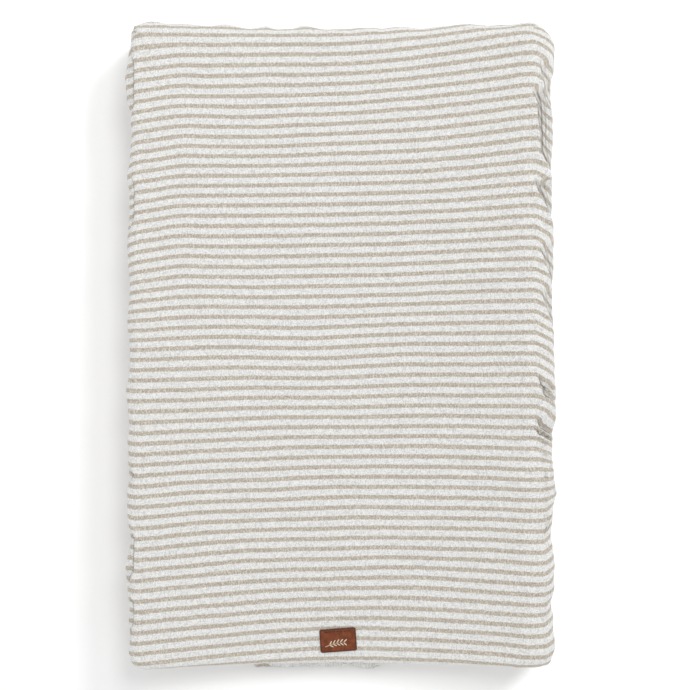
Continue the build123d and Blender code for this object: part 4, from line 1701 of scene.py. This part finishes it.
@dataclass
class Zip:
    """The zip's two tapes and its two rows of wire teeth."""

    tape_x: Pair = (0.0007, 0.0160)
    tape_half: float = 0.292
    tape_z: float = 0.00695
    tape_thick: float = 0.0004
    tooth_x: Pair = (0.00075, 0.00330)
    tooth_z: Pair = (0.00442, 0.00658)
    teeth_half: float = 0.2815
    pitch: float = 0.00135
    wire: float = 0.00034

    def tooth(self) -> Shape:
        """One turn of the wire: a flat loop across the tape, round in section."""
        wide = (self.tooth_x[1] - self.tooth_x[0]) / 2 - self.wire
        high = (self.tooth_z[1] - self.tooth_z[0]) / 2 - self.wire
        turn = np.arange(9) * math.tau / 9
        around = np.column_stack([np.cos(turn), 0 * turn, np.sin(turn)])
        path = np.column_stack([wide * np.cos(turn), self.pitch * 0.25 * np.sin(turn), high * np.sin(turn)])
        beside = np.tile([0.0, 1.0, 0.0], (9, 1))
        return carried(path, around, beside, ring(self.wire, self.wire, 5)[::-1], closed=True)

    def build(self) -> None:
        """Makes the tapes and the teeth of both sides."""
        for side, sign in (("left", -1.0), ("right", 1.0)):
            across = np.linspace(*self.tape_x, 12) * sign
            along = np.linspace(-self.tape_half, self.tape_half, 220)
            x, y = np.meshgrid(across, along)
            ripples = 0.00008 * ripple(np.stack([x, y, 0 * x], axis=-1), 0.02, 41)
            faces = grid_faces(220, 12)
            faces = faces if sign > 0 else faces[:, ::-1]
            points = np.stack([x, y, self.tape_z + ripples], axis=-1).reshape(-1, 3)
            tape = make_piece(f"tape_{side}", points, [faces])
            solid = tape.modifiers.new("thickness", "SOLIDIFY")
            solid.thickness, solid.offset = self.tape_thick, 0.0
            settle(tape, "tape", "zip_tape", "pad", f"zip_tape_{side}")

            y = np.arange(-self.teeth_half, self.teeth_half, self.pitch) + (0.0 if sign > 0 else self.pitch / 2)
            tooth_x, tooth_z = sign * sum(self.tooth_x) / 2, sum(self.tooth_z) / 2
            place = np.column_stack([np.full(len(y), tooth_x), y, np.full(len(y), tooth_z)])
            flip, above = (np.tile(way, (len(y), 1)) for way in ([1.0, 0.0, 0.0], [0.0, 0.0, 1.0]))
            teeth, teeth_faces = repeated(*self.tooth(), placed_along(place, flip * sign, above))
            coil = make_piece(f"coil_{side}", teeth, teeth_faces)
            settle(coil, "nylon", "zip_coil", "pad", f"zip_coil_{side}")


@dataclass
class CareLabel:
    """The blank care label: a satin ribbon folded once and held in the hem at its two ends."""

    width: float = 0.030
    length: float = 0.042
    middle_x: float = 0.110
    start_y: float = -0.3185
    levels: Pair = (0.0013, 0.0036)
    thick: float = 0.00016

    def build(self) -> bpy.types.Object:
        """Makes the ribbon: out along the lower layer, round the fold and back along the upper.

        Returns:
            The ribbon.
        """
        low, high = self.levels
        radius = (high - low) / 2
        run = np.linspace(0, 1, 24)
        turn = np.linspace(-math.pi / 2, math.pi / 2, 9)[1:-1]
        y = np.concatenate([run * self.length, self.length + radius * np.cos(turn), self.length * run[::-1]])
        z = np.concatenate([low + 0 * run, low + radius + radius * np.sin(turn), high + 0 * run])
        x = np.linspace(-0.5, 0.5, 20) * self.width
        grid_x, grid_y = np.meshgrid(x, y)
        grid_z = np.broadcast_to(z[:, None], grid_x.shape) + 0.0004 * np.sin(grid_x * 210 + grid_y * 70)
        points = np.stack([self.middle_x + grid_x, self.start_y + grid_y, grid_z], axis=-1)
        ribbon = make_piece("care_ribbon", points.reshape(-1, 3), [grid_faces(len(y), len(x))[:, ::-1]])
        solid = ribbon.modifiers.new("thickness", "SOLIDIFY")
        solid.thickness, solid.offset = self.thick, 0.0
        settle(ribbon, "ribbon", "care_ribbon", "pad", "care_label")
        return ribbon


# ---------------------------------------------------------------- stage
@dataclass(frozen=True)
class Lamp:
    """A round soft lamp that points at the pad."""

    name: str
    place: Triple
    size: float
    power: float


@dataclass
class Studio:
    """The white floor, an even sky, two soft lamps and the camera straight above the pad.

    One lamp lights the whole scene. The other has the floor as its only receiver, so the pad
    throws a soft shadow on white paper while its own two slopes stay evenly lit.
    """

    camera_place: Triple = (0.0042, -0.0006, 1.406)
    lens: float = 59.1
    key: Lamp = Lamp("key", (0.48, 0.80, 2.3), 0.7, 16.5)
    floor_key: Lamp = Lamp("floor key", (1.27, 1.12, 1.9), 0.75, 28.0)
    sky: float = 0.77
    floor_half: float = 6.0
    floor_glow: float = 0.05

    def make_floor(self) -> bpy.types.Object:
        """Makes the floor, which glows a little so that it stays paper white."""
        half = self.floor_half
        points = np.array([[-half, -half, 0], [half, -half, 0], [-half, half, 0], [half, half, 0]], float)
        floor = make_piece("floor", points, [grid_faces(2, 2)])
        material, _, shader = new_material("floor paper", 0.9)
        shader.inputs["Base Color"].default_value = (0.9, 0.9, 0.9, 1)
        shader.inputs["Emission Color"].default_value = (1, 1, 1, 1)
        shader.inputs["Emission Strength"].default_value = self.floor_glow
        floor.data.materials.append(material)
        return floor

    def make_sky(self) -> None:
        """Makes an even sky, which is plain white where the camera sees it."""
        world = bpy.data.worlds.new("sky")
        world.use_nodes = True
        build = Nodes(world.node_tree)
        background = world.node_tree.nodes["Background"]
        background.inputs["Color"].default_value = (1, 1, 1, 1)
        seen = build.add("ShaderNodeLightPath").outputs["Is Camera Ray"]
        strength = build.math("MAXIMUM", seen, self.sky)
        world.node_tree.links.new(strength, background.inputs["Strength"])
        bpy.context.scene.world = world

    def make_lamp(self, lamp: Lamp) -> bpy.types.Object:
        """Makes a lamp that points at the pad's middle.

        Args:
            lamp: its place, size and power.

        Returns:
            The lamp.
        """
        light = bpy.data.lights.new(lamp.name, "AREA")
        light.shape = "DISK"
        light.size = lamp.size
        light.energy = lamp.power
        made = bpy.data.objects.new(lamp.name, light)
        bpy.context.scene.collection.objects.link(made)
        made.location = lamp.place
        towards = np.array([0, 0, 0.05]) - np.array(lamp.place)
        made.rotation_euler = (
            math.atan2(math.hypot(towards[0], towards[1]), -towards[2]),
            0.0,
            math.atan2(towards[1], towards[0]) - math.pi / 2,
        )
        return made

    def make_camera(self) -> None:
        """Makes the camera, which looks straight down."""
        camera = bpy.data.objects.new("camera", bpy.data.cameras.new("camera"))
        bpy.context.scene.collection.objects.link(camera)
        camera.data.lens = self.lens
        camera.location = self.camera_place
        bpy.context.scene.camera = camera
        bpy.context.scene.view_settings.view_transform = "Standard"

    def build(self) -> None:
        """Makes the floor, the sky, the lamps and the camera."""
        floor = self.make_floor()
        self.make_sky()
        self.make_lamp(self.key)
        receivers = bpy.data.collections.new("floor only")
        receivers.objects.link(floor)
        self.make_lamp(self.floor_key).light_linking.receiver_collection = receivers
        self.make_camera()


def dress_nodes() -> None:
    """Gives every CAD node that stays its finish."""
    finishes = {
        "foam": ("foam_base", "foam_bolster_left", "foam_bolster_right"),
        "wadding": ("wadding_sheet",),
        "metal": ("zip_top_stops", "zip_bottom_stop", "zip_slider", "zip_pull"),
        "rubber": ("grip_dots",),
    }
    for finish, nodes in finishes.items():
        for node in nodes:
            dress(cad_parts[node], finish)


def main() -> None:
    """Builds the cover and what it holds, then the studio."""
    logging.basicConfig(level=logging.INFO, format="%(message)s")
    dress_nodes()
    cover = Cover()
    cover.build()
    LeatherLabel().build(cover.surface)
    HemTrim().build(cover)
    Casing().build(cover.surface)
    Zip().build()
    CareLabel().build()
    Studio().build()


if __name__ == "__main__":
    main()
